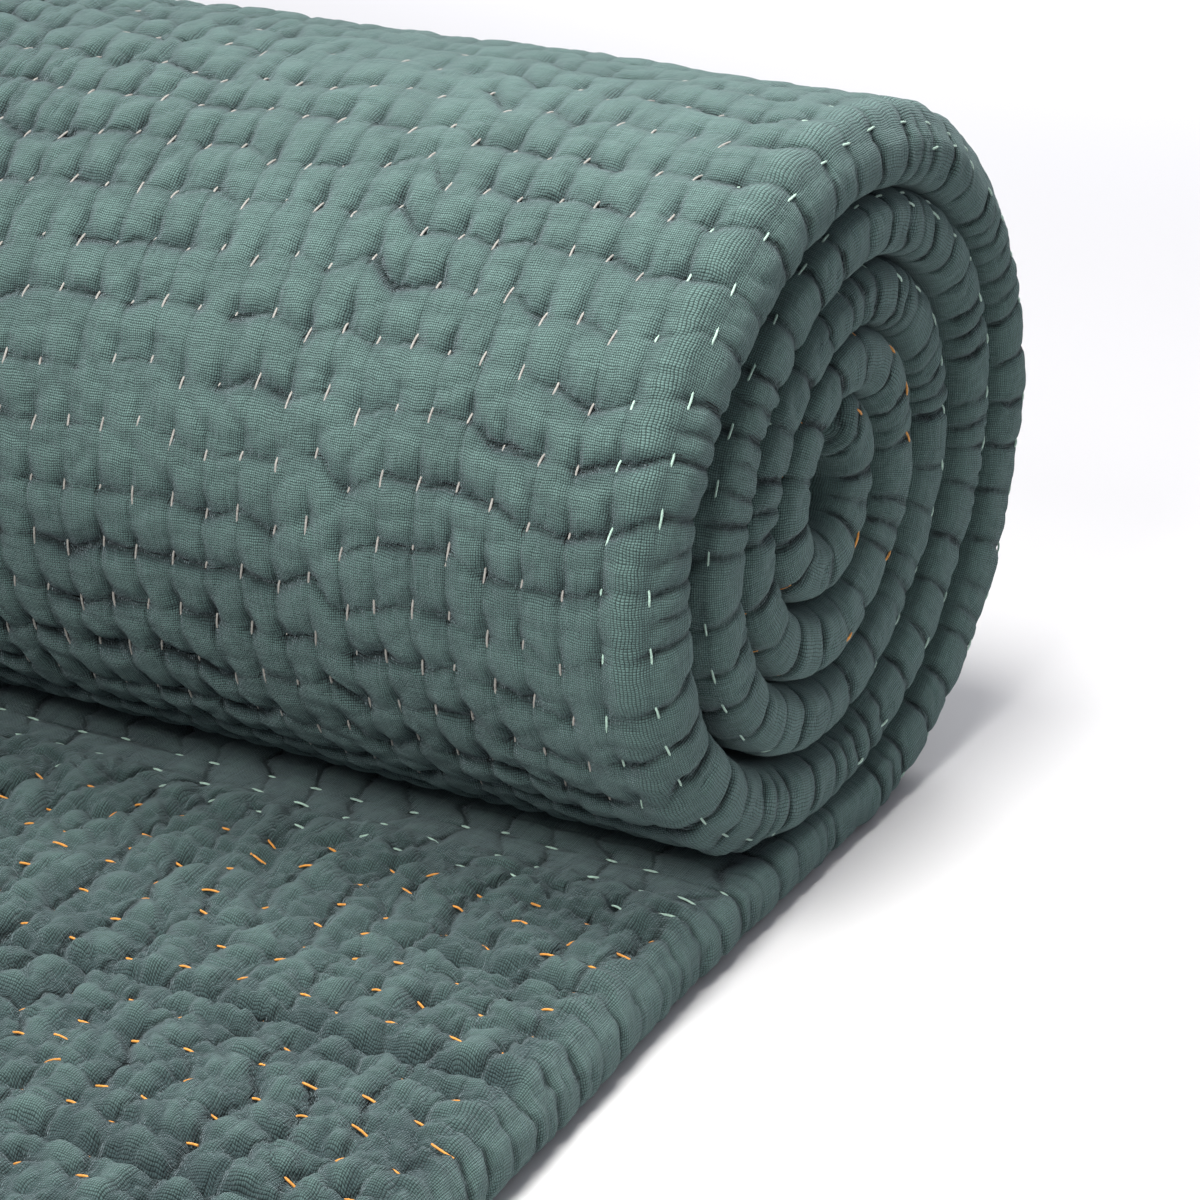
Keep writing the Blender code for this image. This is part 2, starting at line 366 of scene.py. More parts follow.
class Section:
    """The folded quilt cut across: its middle line, thickness and what shows, along it."""

    FLAP_POINTS = 600
    ROLL_POINTS = 2600
    SMOOTHING = 15

    def __init__(self):
        underside = float(spiral_point(np.array(0.0))[0])
        flap_y = np.linspace(FLAP_END_Y, underside, self.FLAP_POINTS, endpoint=False)
        flap_half = FLAP_HALF + (PRESSED_HALF - FLAP_HALF) * ramp(underside - flap_y, *PRESS_RANGE)
        turns = np.linspace(0.0, TURNS, self.ROLL_POINTS)
        roll = spiral_point(turns)
        room = np.full(len(turns), 2 * PUFFED_HALF + TURN_GAP)
        for shift in (-1.0, 1.0):
            other = turns + shift
            inside = (other >= 0.0) & (other <= TURNS)
            distance = np.linalg.norm(spiral_point(np.clip(other, 0.0, TURNS)) - roll, axis=1)
            room = np.where(inside, np.minimum(room, distance), room)
        roll_half = np.maximum((room - TURN_GAP) / 2, LEAST_HALF)
        roll_half = np.where(turns < RESTING_TURNS, np.minimum(roll_half, roll[:, 1]), roll_half)

        self.y = np.concatenate([flap_y, roll[:, 0]])
        self.z = np.concatenate([flap_half, roll[:, 1]])
        self.turns = np.concatenate([np.full(len(flap_y), -1.0), turns])
        half = np.concatenate([flap_half, roll_half])
        steps = np.hypot(np.diff(self.y), np.diff(self.z))
        self.along = np.concatenate([[0.0], np.cumsum(steps)])
        self.length = float(self.along[-1])
        self.underside = float(np.interp(0.0, turns, self.along[len(flap_y):]))
        kernel = np.ones(self.SMOOTHING) / self.SMOOTHING
        padded = np.pad(half, self.SMOOTHING // 2, mode="edge")
        self.half = np.convolve(padded, kernel, mode="valid")
        lead = np.maximum(0.0, 1.0 - self.along / FLAP_HALF)
        tail = np.maximum(0.0, 1.0 - (self.length - self.along) / self.half)
        self.share = np.sqrt(np.clip(1.0 - np.maximum(lead, tail) ** 2, 0.0, 1.0))
        tangent = np.stack([np.gradient(self.y), np.gradient(self.z)])
        tangent /= np.linalg.norm(tangent, axis=0)
        self.out_y, self.out_z = tangent[1], -tangent[0]
        places, setbacks = zip(*EDGE_SETBACK)
        on_flap = self.turns < 0.0
        spread = FLAP_SPREAD * on_flap * ramp(underside - self.y, *SPREAD_RANGE)
        self.setback = np.interp(np.maximum(self.turns, 0.0), places, setbacks) - spread
        self.shown_inner = np.where(on_flap, 1.0 - ramp(underside - self.y, *COVER_RANGE), 0.0)
        lifted = ramp(self.turns, *LIFT_RANGE) * (1.0 - ramp(self.turns, *TUCK_RANGE))
        self.shown_outer = np.where(on_flap, 0.0, lifted)

    def read(self, name, along):
        """One of the section's values at places along the cloth."""
        return np.interp(along, self.along, getattr(self, name))

    def along_at_turns(self, turns):
        """Place along the cloth after a number of turns."""
        rolled = self.turns >= 0.0
        return float(np.interp(turns, self.turns[rolled], self.along[rolled]))


SECTION = Section()


# ---------------------------------------------------------------- the quilting


class Quilting:
    """Rows of running stitches on one face, and how strongly each of them pulls the cloth in.

    "run" is the direction in which a row is sewn and "step" the one from row to row. Both are
    also counted in phases, so that a stitch lies where the two phases are whole numbers. A
    crosswise crease joins the stitches of one number in neighbouring rows, and a channel
    follows each row.
    """

    RUN_APART = 10.0  # keeps the rows apart where one table holds them all, in metres
    PHASE_APART = 1000.0

    def __init__(self, seed, row_pitch, stitch_pitch, first_row, rows, stitches, habits):
        random = np.random.default_rng(seed)
        self.row_pitch = row_pitch
        self.stitch_pitch = stitch_pitch
        self.first_row = first_row
        self.shape = (rows, stitches)
        self.habits = habits
        row, index = np.arange(rows)[:, None], np.arange(stitches)[None, :]
        drift = np.cumsum(random.normal(0.0, habits["drift"], rows))
        drift -= np.convolve(np.pad(drift, 6, mode="edge"), np.ones(13) / 13, mode="valid")
        slow = WANDER.at(index / 5.0 + seed, row / 4.0)
        jitter = random.uniform(-1.0, 1.0, self.shape)
        self.place = stitch_pitch * (index - 1.0) + drift[:, None]
        self.place = self.place + habits["slow"] * slow + habits["jitter"] * jitter
        shared = WAVES.at(index * 3.7 + seed, row / 2.4 + 0.31 * index)
        self.crease = np.clip(0.40 + 0.55 * shared + 0.60 * random.random(self.shape), 0.0, 1.0)
        broken = random.random(self.shape) < 0.48
        self.slack = habits["slack"] * broken * random.random(self.shape) ** 0.5
        self.channel = 0.25 + 0.75 * random.random(self.shape) ** 1.6
        self.dimple = 0.35 + 0.65 * random.random(self.shape)
        self.length = habits["stitch"] * (0.62 + 0.55 * random.random(self.shape))
        self.tilt = random.normal(0.0, 0.07, self.shape)
        self.shift = random.normal(0.0, habits["wobble"], self.shape)

    def phases(self, run, step):
        """Counts of stitches and of rows at a place, whole numbers where a stitch lies."""
        row_phase = (step - self.first_row) / self.row_pitch
        low = np.clip(np.floor(row_phase), 0, self.shape[0] - 2)
        part = ramp(row_phase - low, 0.0, 1.0)
        stitch_phase = (1 - part) * self.phase_in_row(run, low)
        return stitch_phase + part * self.phase_in_row(run, low + 1), row_phase

    def phase_in_row(self, run, row):
        """Count of stitches at a place along one row."""
        rows, stitches = self.shape
        number = np.arange(rows)[:, None]
        places = (self.place + self.RUN_APART * number).ravel()
        phases = (np.arange(stitches)[None, :] + self.PHASE_APART * number).ravel()
        return np.interp(run + self.RUN_APART * row, places, phases) - self.PHASE_APART * row

    def pull(self, stitch_phase, row_phase):
        """Strengths from 0 to 1 of the nearest crease and channel, and of their dimple."""
        rows, stitches = self.shape
        line = np.clip(np.round(stitch_phase), 0, stitches - 1).astype(int)
        low = np.clip(np.floor(row_phase), 0, rows - 2).astype(int)
        part = np.clip(row_phase - low, 0.0, 1.0)
        crease = (1 - part) * self.crease[low, line] + part * self.crease[low + 1, line]
        crease = crease * (1.0 - self.slack[low, line] * np.sin(pi * part) ** 0.7)
        sewn = (row_phase > -0.5) & (row_phase < rows - 0.5)
        row = np.clip(np.round(row_phase), 0, rows - 1).astype(int)
        before = np.clip(np.floor(stitch_phase), 0, stitches - 2).astype(int)
        gone = np.clip(stitch_phase - before, 0.0, 1.0)
        ahead = self.channel[row, before + 1] * trough(1.0 - gone, self.habits["lead"])
        behind = self.channel[row, before] * trough(gone, self.habits["trail"])
        plain = self.habits["plain"]
        channel = plain + (1.0 - plain) * np.maximum(ahead, behind)
        return crease, channel * sewn, self.dimple[row, line] * sewn


OUTER_QUILTING = Quilting(
    seed=11,
    row_pitch=0.0089,
    stitch_pitch=0.0119,
    first_row=0.0076,
    rows=56,
    stitches=142,
    habits={
        "drift": 0.0020,
        "slow": 0.0024,
        "jitter": 0.0013,
        "wobble": 0.00024,
        "stitch": 0.0038,
        "slack": 0.95,
        "lead": 0.45,
        "trail": 0.20,
        "plain": 0.22,
    },
)
INNER_QUILTING = Quilting(
    seed=23,
    row_pitch=0.0095,
    stitch_pitch=0.0128,
    first_row=0.0105,
    rows=172,
    stitches=42,
    habits={
        "drift": 0.0026,
        "slow": 0.0042,
        "jitter": 0.0022,
        "wobble": 0.00050,
        "stitch": 0.0036,
        "slack": 0.60,
        "lead": 0.28,
        "trail": 0.28,
        "plain": 0.22,
    },
)


def away_from(phase, pitch):
    """Signed distance to the nearest whole number of a phase, in metres."""
    return (phase - np.round(phase)) * pitch


class FoldCreases:
    """Creases that run round the fold from the stitches nearest to it."""

    def __init__(self, seed):
        random = np.random.default_rng(seed)
        sewn = OUTER_QUILTING.place[0]
        count = len(sewn)
        self.sewn = 0.35 + 0.65 * random.random(count)
        self.between = (random.random(count) < 0.36) * (0.25 + 0.60 * random.random(count))
        rows = INNER_QUILTING.shape[0]
        self.on_flap = 0.15 + 0.65 * random.random(rows)
        self.on_flap_between = (random.random(rows) < 0.32) * (0.20 + 0.50 * random.random(rows))

    def lean(self, along, across):
        """How far a crease is carried along the cloth on its way round the fold."""
        tilt = 0.30 * WANDER.at(along / 0.017, 3.4)
        bend = 30.0 * WANDER.at(along / 0.013 + 50.0, 6.6)
        return tilt * across + bend * across * across

    def hold(self, distance):
        """How far a crease draws the cloth in beside its line, from 1 to 0."""
        wide, narrow = FOLD_CREASE_WIDTHS
        return 0.28 * valley(distance, wide) + 0.72 * valley(distance, narrow)

    def left(self, along, across):
        """Share of a crease's strength that is left at a place on the fold, from 0.35 to 1."""
        return np.clip(0.88 + 0.65 * FOLD_PATTERNS["left"].at(along, across), 0.35, 1.0)


FOLD_CREASES = FoldCreases(31)


def wandering(along, across):
    """Small sideways shifts of the quilting over the cloth, in metres."""
    shift_along = WANDER_SIZES[0] * WANDER_PATTERNS["along"].at(along, across)
    shift_across = WANDER_SIZES[1] * WANDER_PATTERNS["across"].at(along, across)
    return shift_along, shift_across


def face_share(across):
    """0 on the rounded fold, 1 on the flat faces."""
    return ramp(np.abs(across), *FACE_RANGE)


def roll_shift(along, across):
    """Shifts of the sewing along and across on the rolled part, in metres."""
    face = face_share(across)
    shift_along, shift_across = wandering(along, across)
    lean = FOLD_CREASES.lean(along, across)
    return face * shift_along + (1 - face) * lean, face * shift_across


def flap_shift(along, across):
    """The same on the loose end, where the rows run across."""
    face = face_share(across)
    shift_along, shift_across = wandering(along, across)
    lean = FOLD_CREASES.lean(along, across)
    more_along, more_across = FLAP_WANDER
    return more_along * face * shift_along + (1 - face) * lean, more_across * face * shift_across


def fold_height(along, across, puff):
    """Height of the rounded fold over its plain outline."""
    heights, patterns = FOLD_HEIGHTS, FOLD_PATTERNS
    swell = patterns["swell"].at(along, across)
    fine = patterns["fine"].at(along, across)
    wrinkles = patterns["wrinkle"].lines(along, across)
    some = np.clip(0.35 + 0.9 * patterns["some"].at(along, across), 0.0, 1.0)
    proud = heights["base"] + heights["puff"] * puff + heights["swell"] * swell
    proud = proud + heights["fine"] * fine - heights["wrinkle"] * some * wrinkles**6
    beside = BESIDE_FOLD["base"] - BESIDE_FOLD["crease"] * (1.0 - puff)
    facing = np.sin(np.clip(pi / 2 * (1 - across / FOLD_ARC), 0.0, pi)) ** 2
    return facing * proud + (1.0 - facing) * beside


def covered_height(puff):
    """Height of a face that another turn covers."""
    return HIDDEN_HEIGHTS["base"] - HIDDEN_HEIGHTS["crease"] * (1.0 - puff)


def fold_pulls(along, across, past, phase, pitch, strengths):
    """How far the fold's creases draw in, through its stitches and between them, and its puff."""
    quiet = ramp(past, *QUIET_RANGE) * FOLD_CREASES.left(along, across)
    last = len(strengths[0]) - 1
    sewn = quiet * strengths[0][np.clip(np.round(phase), 0, last).astype(int)]
    between = quiet * strengths[1][np.clip(np.floor(phase), 0, last).astype(int)]
    away, halfway = away_from(phase, pitch), away_from(phase - 0.5, pitch)
    held = np.maximum(sewn * FOLD_CREASES.hold(away), between * FOLD_CREASES.hold(halfway))
    return sewn, between, 1.0 - held


def roll_relief(along, across):
    """Height over the plain outline of the rolled part, and the sewing's marks there."""
    heights, patterns, dark = ROLL_HEIGHTS, ROLL_PATTERNS, ROLL_PAINTED_SHADE
    face = face_share(across)
    outside = across > 0.0
    shift_along, shift_across = roll_shift(along, across)
    stitch, row = OUTER_QUILTING.phases(
        along + shift_along, np.where(outside, across + shift_across, 0.0)
    )
    crease, channel, dimple = OUTER_QUILTING.pull(stitch, row)
    zone = patterns["zone"].at(along, across)
    deeper = ramp(across, *DEEPER_RANGE)
    low = ramp(along - SECTION.underside, *LOW_RANGE)
    top = 1.0 - ramp(along - SECTION.underside, *TOP_RANGE)
    share = ROLL_CREASES
    drawn_in = share["base"] + share["zone"] * zone + share["deeper"] * deeper + share["low"] * low
    crease = crease * np.maximum(drawn_in, share["least"])
    crease = crease * (1.0 - share["top"] * top)
    crease = crease * (1.0 - share["first_row"] * ramp(row, *FIRST_ROW_RANGE))
    share = ROLL_CHANNELS
    drawn_in = share["base"] + share["zone"] * zone + share["deeper"] * deeper * (1 + top)
    channel = channel * np.maximum(drawn_in + share["low"] * low, share["least"])
    away = away_from(stitch, OUTER_QUILTING.stitch_pitch)
    beside = away_from(row, OUTER_QUILTING.row_pitch)
    line = 0.55 * trough(away, CREASE_WIDTHS[0]) + 0.45 * valley(away, CREASE_WIDTHS[1])
    drawn = (crease * line) ** 3 + (channel * trough(beside, CHANNEL_WIDTH)) ** 3
    puff = 1.0 - np.minimum(drawn ** (1 / 3), 1.0)
    pinch = dimple * trough(away + PINCH_BEFORE, ROLL_PINCH[0]) * trough(beside, ROLL_PINCH[1])
    swell = 0.5 + 0.5 * patterns["swell"].at(along, across)
    gone = stitch - np.floor(stitch)
    shingle = heights["shingle"] * (0.5 - gone) * np.minimum(crease * 1.4, 1.0)
    ridge = patterns["ridge"].lines(along, across)
    slit = patterns["slit"].lines(along, across)
    fine = patterns["fine"].at(along, across)
    swollen = heights["puff"] + heights["puff_low"] * low + heights["puff_top"] * top
    high = heights["base"] + swollen * puff - heights["pinch"] * pinch + heights["swell"] * swell
    high = high + shingle - heights["ridge"] * ridge**6
    high = high - heights["slit"] * top * deeper * slit**9 + heights["fine"] * fine
    shown = SECTION.read("shown_outer", along)
    rise = shown * high + (1.0 - shown) * covered_height(puff)
    rise = np.where(outside, rise, 0.0)

    past = along - SECTION.underside
    strengths = FOLD_CREASES.sewn, FOLD_CREASES.between
    pitch = OUTER_QUILTING.stitch_pitch
    sewn, between, rim_puff = fold_pulls(along, across, past, stitch, pitch, strengths)
    height = (1 - face) * fold_height(along, across, rim_puff) + face * rise
    on_face = face * outside
    # Painted shade: the tone follows the puff into the creases and darkens further in pinches,
    # slits and ridges and on the low part of the front
    shaded_tone = np.clip(puff - dark["pinch"] * pinch - dark["low"] * low * (1.0 - puff), 0.0, 1.0)
    shaded_tone = shaded_tone * (1.0 - dark["slit"] * top * deeper * slit**9) * (1.0 - dark["ridge"] * ridge**6)
    marks = (
        stitch,
        row,
        (1 - face) * np.minimum(FOLD_LINES * sewn, 1.0) + on_face * crease,
        (1 - face) * np.minimum(FOLD_LINES * between, 1.0),
        on_face * channel,
        (1 - face) * rim_puff + face * np.where(outside, shaded_tone, 1.0),
    )
    return height, np.stack(marks, axis=-1)


def flap_relief(along, across):
    """The same on the loose end, whose upper face is the one that is inside on the roll."""
    heights, patterns, dark = FLAP_HEIGHTS, FLAP_PATTERNS, FLAP_PAINTED_SHADE
    face = face_share(across)
    upper = across < 0.0
    shift_along, shift_across = flap_shift(along, across)
    stitch, row = INNER_QUILTING.phases(-across + shift_across, along + shift_along)
    crease, channel, dimple = INNER_QUILTING.pull(stitch, row)
    zone = patterns["zone"].at(along, across)
    pillowed = 1.0 - ramp(-across + PILLOWED_SLANT * along, *PILLOWED_RANGE)
    calm = ramp(along, *CALM_RANGE)
    share = FLAP_CREASES
    drawn_in = share["base"] - share["pillowed"] * pillowed - share["zone"] * zone
    crease = np.minimum(crease * drawn_in, 1.0)
    share = FLAP_CHANNELS
    channel = channel * (share["base"] + share["pillowed"] * pillowed + share["zone"] * zone)
    gather = ramp(WANDER.at(np.round(row) * 0.83 + 7.0, stitch / GATHER_STITCHES), *GATHER_RANGE)
    channel = np.maximum(channel, share["gathered"] * gather)
    gone, passed = row - np.floor(row), stitch - np.floor(stitch)
    crown = np.sin(pi * gone**1.45) ** 0.85  # leans towards the next row
    width = np.sin(pi * passed) ** (0.55 + 0.25 * (1.0 - pillowed))
    drawn = (channel * (1.0 - crown)) ** JOINING + (crease * (1.0 - width)) ** JOINING
    puff = 1.0 - np.minimum(drawn ** (1 / JOINING), 1.15)
    away = away_from(stitch, INNER_QUILTING.stitch_pitch)
    beside = away_from(row, INNER_QUILTING.row_pitch)
    pinch = dimple * trough(away, FLAP_PINCH[0]) * trough(beside, FLAP_PINCH[1])
    swell = 0.5 + 0.5 * patterns["swell"].at(along, across)
    ridge = patterns["ridge"].lines(along, across)
    cross = patterns["cross"].lines(along, across)
    short = patterns["short"].lines(along, across)
    fine = patterns["fine"].at(along, across)
    uneven = patterns["uneven"].at(along, across)
    deep = gather * trough(beside, DEEP_WIDTH)
    swollen = heights["puff"] - heights["puff_calm"] * calm
    high = heights["base"] + swollen * puff - heights["pinch"] * pinch + heights["swell"] * swell
    ridged = heights["ridge"] - heights["ridge_pillowed"] * pillowed
    high = high - ridged * ridge**8 - heights["deep"] * deep
    high = high - heights["cross"] * cross**6 - heights["short"] * short**6
    high = high + heights["fine"] * fine + heights["uneven"] * uneven
    shown = SECTION.read("shown_inner", along)
    rise = shown * high + (1.0 - shown) * covered_height(puff)
    rise = np.where(upper, rise, 0.0)

    past = SECTION.underside - along
    strengths = FOLD_CREASES.on_flap, FOLD_CREASES.on_flap_between
    pitch = INNER_QUILTING.row_pitch
    sewn, _, rim_puff = fold_pulls(along, across, past, row, pitch, strengths)
    height = (1 - face) * fold_height(along, across, rim_puff) + face * rise
    on_face = face * upper
    # Painted shade: the tone follows the puff into the creases and darkens in pinches, wrinkles,
    # ridges and deep creases, less where the cloth is calm
    shaded_tone = np.clip(dark["puff"] * puff - dark["pinch"] * pinch, 0.0, 1.0)
    shaded_tone = shaded_tone * (1.0 - dark["cross"] * cross**6) * (1.0 - dark["short"] * short**6)
    shaded_tone = shaded_tone * (1.0 - dark["ridge"] * ridge**8)
    shaded_tone = (1.0 - (1.0 - shaded_tone) * (1.0 - dark["calm"] * calm)) * (1.0 - dark["deep"] * deep)
    marks = (
        stitch,
        row,
        on_face * crease,
        np.zeros(along.shape),
        (1 - face) * sewn + on_face * channel,
        # Painted shade over the whole loose end
        (1 - face) * rim_puff + face * np.where(upper, dark["whole"] * shaded_tone, 1.0),
    )
    return height, np.stack(marks, axis=-1)


def cloth_relief(along, across):
    """Height of any place on the cloth over its plain outline, and the sewing's marks."""
    along, across = np.broadcast_arrays(along, across)
    height = np.zeros(along.shape)
    marks = np.zeros((*along.shape, len(MARKS)))
    rolled = along > SECTION.underside
    for here, relief in ((rolled, roll_relief), (~rolled, flap_relief)):
        if here.any():
            height[here], marks[here] = relief(along[here], across[here])
    return height, marks


def cloth_point(along, across):
    """Places in space of places on the cloth, with the sewing's marks there."""
    along, across = np.broadcast_arrays(along, across)
    height, marks = cloth_relief(along, across)
    share = SECTION.read("share", along)
    height = height * share
    turn = np.clip(pi / 2 * (1 - across / FOLD_ARC), 0.0, pi)
    past = np.maximum(np.abs(across) - FOLD_ARC, 0.0)
    half = SECTION.read("half", along) * share
    setback = SECTION.read("setback", along) * (1 - ramp(past, 0.0, SETBACK_FADE))
    level = np.sign(np.cos(turn)) * np.abs(np.cos(turn)) ** FOLD_SQUARE
    x = FOLD_START - setback - past
    x = x + PUFFED_HALF * share * np.sin(turn) ** FOLD_SQUARE + height * np.sin(turn)
    above = half * level + height * np.cos(turn)
    return section_place(along, x, above), marks


def section_place(along, x, above):
    """Place in space at x and at a height over the cloth's middle line."""
    y = SECTION.read("y", along) + SECTION.read("out_y", along) * above
    z = SECTION.read("z", along) + SECTION.read("out_z", along) * above
    sink = TOP_SINK[0] + (TOP_SINK[1] - TOP_SINK[0]) * ramp(x, *SINK_PLACES)
    z = z - sink * ramp(z, *SINK_HEIGHTS)
    return np.stack([x, y, np.maximum(z, 0.0)], axis=-1)


def hem_point(along, turn):
    """Places on the hems: turn 0 at the outer face, 1 in the parting, 2 at the inner face."""
    along, turn = np.broadcast_arrays(along, turn)
    outer, _ = cloth_relief(along, np.full(along.shape, FACE_END))
    inner, _ = cloth_relief(along, np.full(along.shape, -FACE_END))
    share = SECTION.read("share", along)
    half = SECTION.read("half", along) * share
    full = np.where(turn < 1.0, half + outer * share, -half - inner * share)
    part = np.where(turn < 1.0, turn, 2.0 - turn)
    bulge = np.sin(pi * np.clip(part, 0.0, 1.0)) ** 0.8
    uneven = 1.0 + HEM_UNEVEN * WAVES.at(along / 0.011, turn * 0.6)
    x = HEM_X - HEM_REACH * bulge * uneven + HEM_PARTING * ramp(part, 0.75, 1.0)
    x = np.maximum(x, -ROLL_LENGTH / 2 - HEM_PAST)
    above = full * (0.5 + 0.5 * np.cos(pi * part))
    marks = np.zeros((*along.shape, len(MARKS)))
    # Painted shade: the hem is darker away from the middle of its bulge, towards its parting and
    # its faces
    marks[..., MARKS.index("puff")] = np.clip(0.4 + 0.6 * bulge, 0.0, 1.0)
    return section_place(along, x, above), marks


# ---------------------------------------------------------------- the mesh


def along_places():
    """Places of the mesh's rows along the cloth, closer at its rounded ends."""
    angles = np.linspace(0.0, pi / 2, END_ROWS + 1)[:-1]
    tip = FLAP_HALF * (1 - np.cos(angles))
    last_half = float(SECTION.half[-1])
    end = SECTION.length - last_half * (1 - np.cos(angles[::-1]))
    start, stop = FLAP_HALF, SECTION.length - last_half
    count = int(round((stop - start) / ALONG_STEP))
    return np.concatenate([tip, np.linspace(start, stop, count + 1), end])


def face_columns():
    """Places across one face from the fold to the hem: the fine ones, and which are coarse."""
    edge = np.arange(0.0, EDGE_WIDTH, FINE_STEP)
    fine = np.arange(edge[-1] + FINE_STEP, FINE_WIDTH, FINE_STEP)
    plain_count = int((FACE_END - FINE_WIDTH) / PLAIN_STEP)
    plain = np.linspace(fine[-1] + PLAIN_STEP, FACE_END, plain_count)
    places = np.concatenate([edge, fine, plain])
    middle = np.linspace(len(edge), len(places) - 1, HIDDEN_COLUMNS).round().astype(int)
    coarse = np.concatenate([np.arange(len(edge)), middle])
    return places, len(edge) - 1, len(edge) + len(fine) - 1, coarse


def grid_patch(along, across, point):
    """A grid of places with their marks and normals, worked out one step past its borders."""
    def extended(values):
        return np.concatenate([[2 * values[0] - values[1]], values, [2 * values[-1] - values[-2]]])

    rows = np.clip(extended(along), 0.0, SECTION.length)
    places, marks = point(rows[:, None], extended(across)[None, :])
    down = places[2:, 1:-1] - places[:-2, 1:-1]
    over = places[1:-1, 2:] - places[1:-1, :-2]
    normals = np.cross(down, over)
    normals /= np.maximum(np.linalg.norm(normals, axis=-1, keepdims=True), 1e-12)
    return {
        "places": places[1:-1, 1:-1],
        "marks": marks[1:-1, 1:-1],
        "normals": normals,
        "cloth": np.stack(np.broadcast_arrays(along[:, None], across[None, :]), axis=-1),
    }


def settle_border(patch, row, kept):
    """Moves a border row onto the straight lines between the columns that its neighbour has."""
    columns = np.arange(patch["places"].shape[1])
    for name in ("places", "normals"):
        values = patch[name][row]
        for axis in range(3):
            values[:, axis] = np.interp(columns, kept, values[kept, axis])


def patch_mesh(name, patches, material):
    """One mesh object from several grids, with the cloth's own normals and coordinates."""
    gathered = {key: [] for key in ("places", "marks", "normals", "cloth")}
    faces = []
    first = 0
    for patch in patches:
        rows, columns = patch["places"].shape[:2]
        index = first + np.arange(rows * columns).reshape(rows, columns)
        corners = (index[:-1, :-1], index[1:, :-1], index[1:, 1:], index[:-1, 1:])
        faces.append(np.stack(corners, axis=-1).reshape(-1, 4))
        for key, values in gathered.items():
            values.append(patch[key].reshape(rows * columns, -1))
        first += rows * columns
    gathered = {key: np.concatenate(values) for key, values in gathered.items()}
    faces = np.concatenate(faces)
    mesh = bpy.data.meshes.new(name)
    mesh.from_pydata(gathered["places"].tolist(), [], faces.tolist())
    uv = mesh.uv_layers.new(name="cloth")
    uv.data.foreach_set("uv", gathered["cloth"][faces.reshape(-1)].astype(np.float32).reshape(-1))
    for title, named in ATTRIBUTES.items():
        values = gathered["marks"][:, [MARKS.index(mark) for mark in named]]
        attribute = mesh.attributes.new(title, "FLOAT_VECTOR", "POINT")
        attribute.data.foreach_set("vector", values.astype(np.float32).reshape(-1))
    mesh.shade_smooth()
    mesh.normals_split_custom_set_from_vertices(gathered["normals"].tolist())
    mesh.materials.append(material)
    piece = bpy.data.objects.new(name, mesh)
    bpy.context.scene.collection.objects.link(piece)
    return piece


def make_patches():
    """The grids of each piece of the quilt's surface, by the piece's name."""
    along = along_places()
    across, edge, fine, coarse = face_columns()
    rolled = np.searchsorted(along, SECTION.along_at_turns(0.0))
    tucked = np.searchsorted(along, SECTION.along_at_turns(1.0))
    covered = np.searchsorted(along, FLAP_SHOWN_Y - FLAP_END_Y)
    last = len(along) - 1

    def outer(start, stop, low, high, columns=None):
        chosen = across[low : high + 1] if columns is None else across[columns]
        return grid_patch(along[start : stop + 1], chosen[::-1], cloth_point)

    def inner(start, stop, low, high, columns=None):
        chosen = across[low : high + 1] if columns is None else across[columns]
        return grid_patch(along[start : stop + 1], -chosen, cloth_point)

    hidden = coarse[coarse >= edge]
    count = len(across)
    patches = {
        "quilt_outside_near": [outer(rolled, tucked, edge, fine)],
        "quilt_outside_far": [outer(rolled, tucked, fine, count - 1)],
        "quilt_loose_end": [inner(0, covered, edge, count - 1)],
        "quilt_fold": [
            grid_patch(along, np.concatenate([across[edge:0:-1], -across[: edge + 1]]), cloth_point)
        ],
        "quilt_inside": [
            outer(0, rolled, 0, 0, hidden),
            outer(tucked, last, 0, 0, hidden),
            inner(covered, last, 0, 0, hidden),
        ],
        "quilt_hems": [grid_patch(along, np.linspace(2.0, 0.0, 2 * HEM_COLUMNS + 1), hem_point)],
    }
    low, high = hidden[hidden <= fine] - edge, hidden[hidden >= fine] - fine
    near_kept = np.unique(np.concatenate([low, [fine - edge]]))
    far_kept = np.unique(np.concatenate([[0], high]))
    for row in (0, -1):
        near, far = patches["quilt_outside_near"][0], patches["quilt_outside_far"][0]
        settle_border(near, row, (fine - edge) - near_kept[::-1])
        settle_border(far, row, (count - 1 - fine) - far_kept[::-1])
    settle_border(patches["quilt_loose_end"][0], -1, hidden - edge)
    return patches


# ---------------------------------------------------------------- materials


def add_node(tree, kind, place, **values):
    """A node of a kind at a place in its tree, with its own settings."""
    node = tree.nodes.new(kind)
    node.location = place
    for name, value in values.items():
        setattr(node, name, value)
    return node


def math_node(tree, place, operation, first, second=None):
    """A Math node on sockets or plain numbers, and its output."""
    node = add_node(tree, "ShaderNodeMath", place, operation=operation)
    for socket, value in zip(node.inputs, (first, second)):
        if value is None:
            continue
        if isinstance(value, (int, float)):
            socket.default_value = value
        else:
            tree.links.new(value, socket)
    return node.outputs[0]


def range_node(tree, place, value, start, end, low, high):
    """A Map Range node from start and end to low and high, and its output."""
    node = add_node(tree, "ShaderNodeMapRange", place)
    for name, number in zip(("From Min", "From Max", "To Min", "To Max"), (start, end, low, high)):
        node.inputs[name].default_value = number
    tree.links.new(value, node.inputs["Value"])
    return node.outputs["Result"]


def noise_node(tree, place, vector, scale, detail=2.0):
    """A Noise Texture node on a vector."""
    node = add_node(tree, "ShaderNodeTexNoise", place)
    node.inputs["Scale"].default_value = scale
    node.inputs["Detail"].default_value = detail
    tree.links.new(vector, node.inputs["Vector"])
    return node


def stretched_node(tree, place, vector, along, across):
    """Noise drawn out over lengths in metres along and across the cloth."""
    stretch = add_node(tree, "ShaderNodeVectorMath", place, operation="MULTIPLY")
    stretch.inputs[1].default_value = (1.0 / along, 1.0 / across, 1.0)
    tree.links.new(vector, stretch.inputs[0])
    return noise_node(tree, (place[0] + 180, place[1]), stretch.outputs[0], 1.0, 1.0).outputs["Fac"]


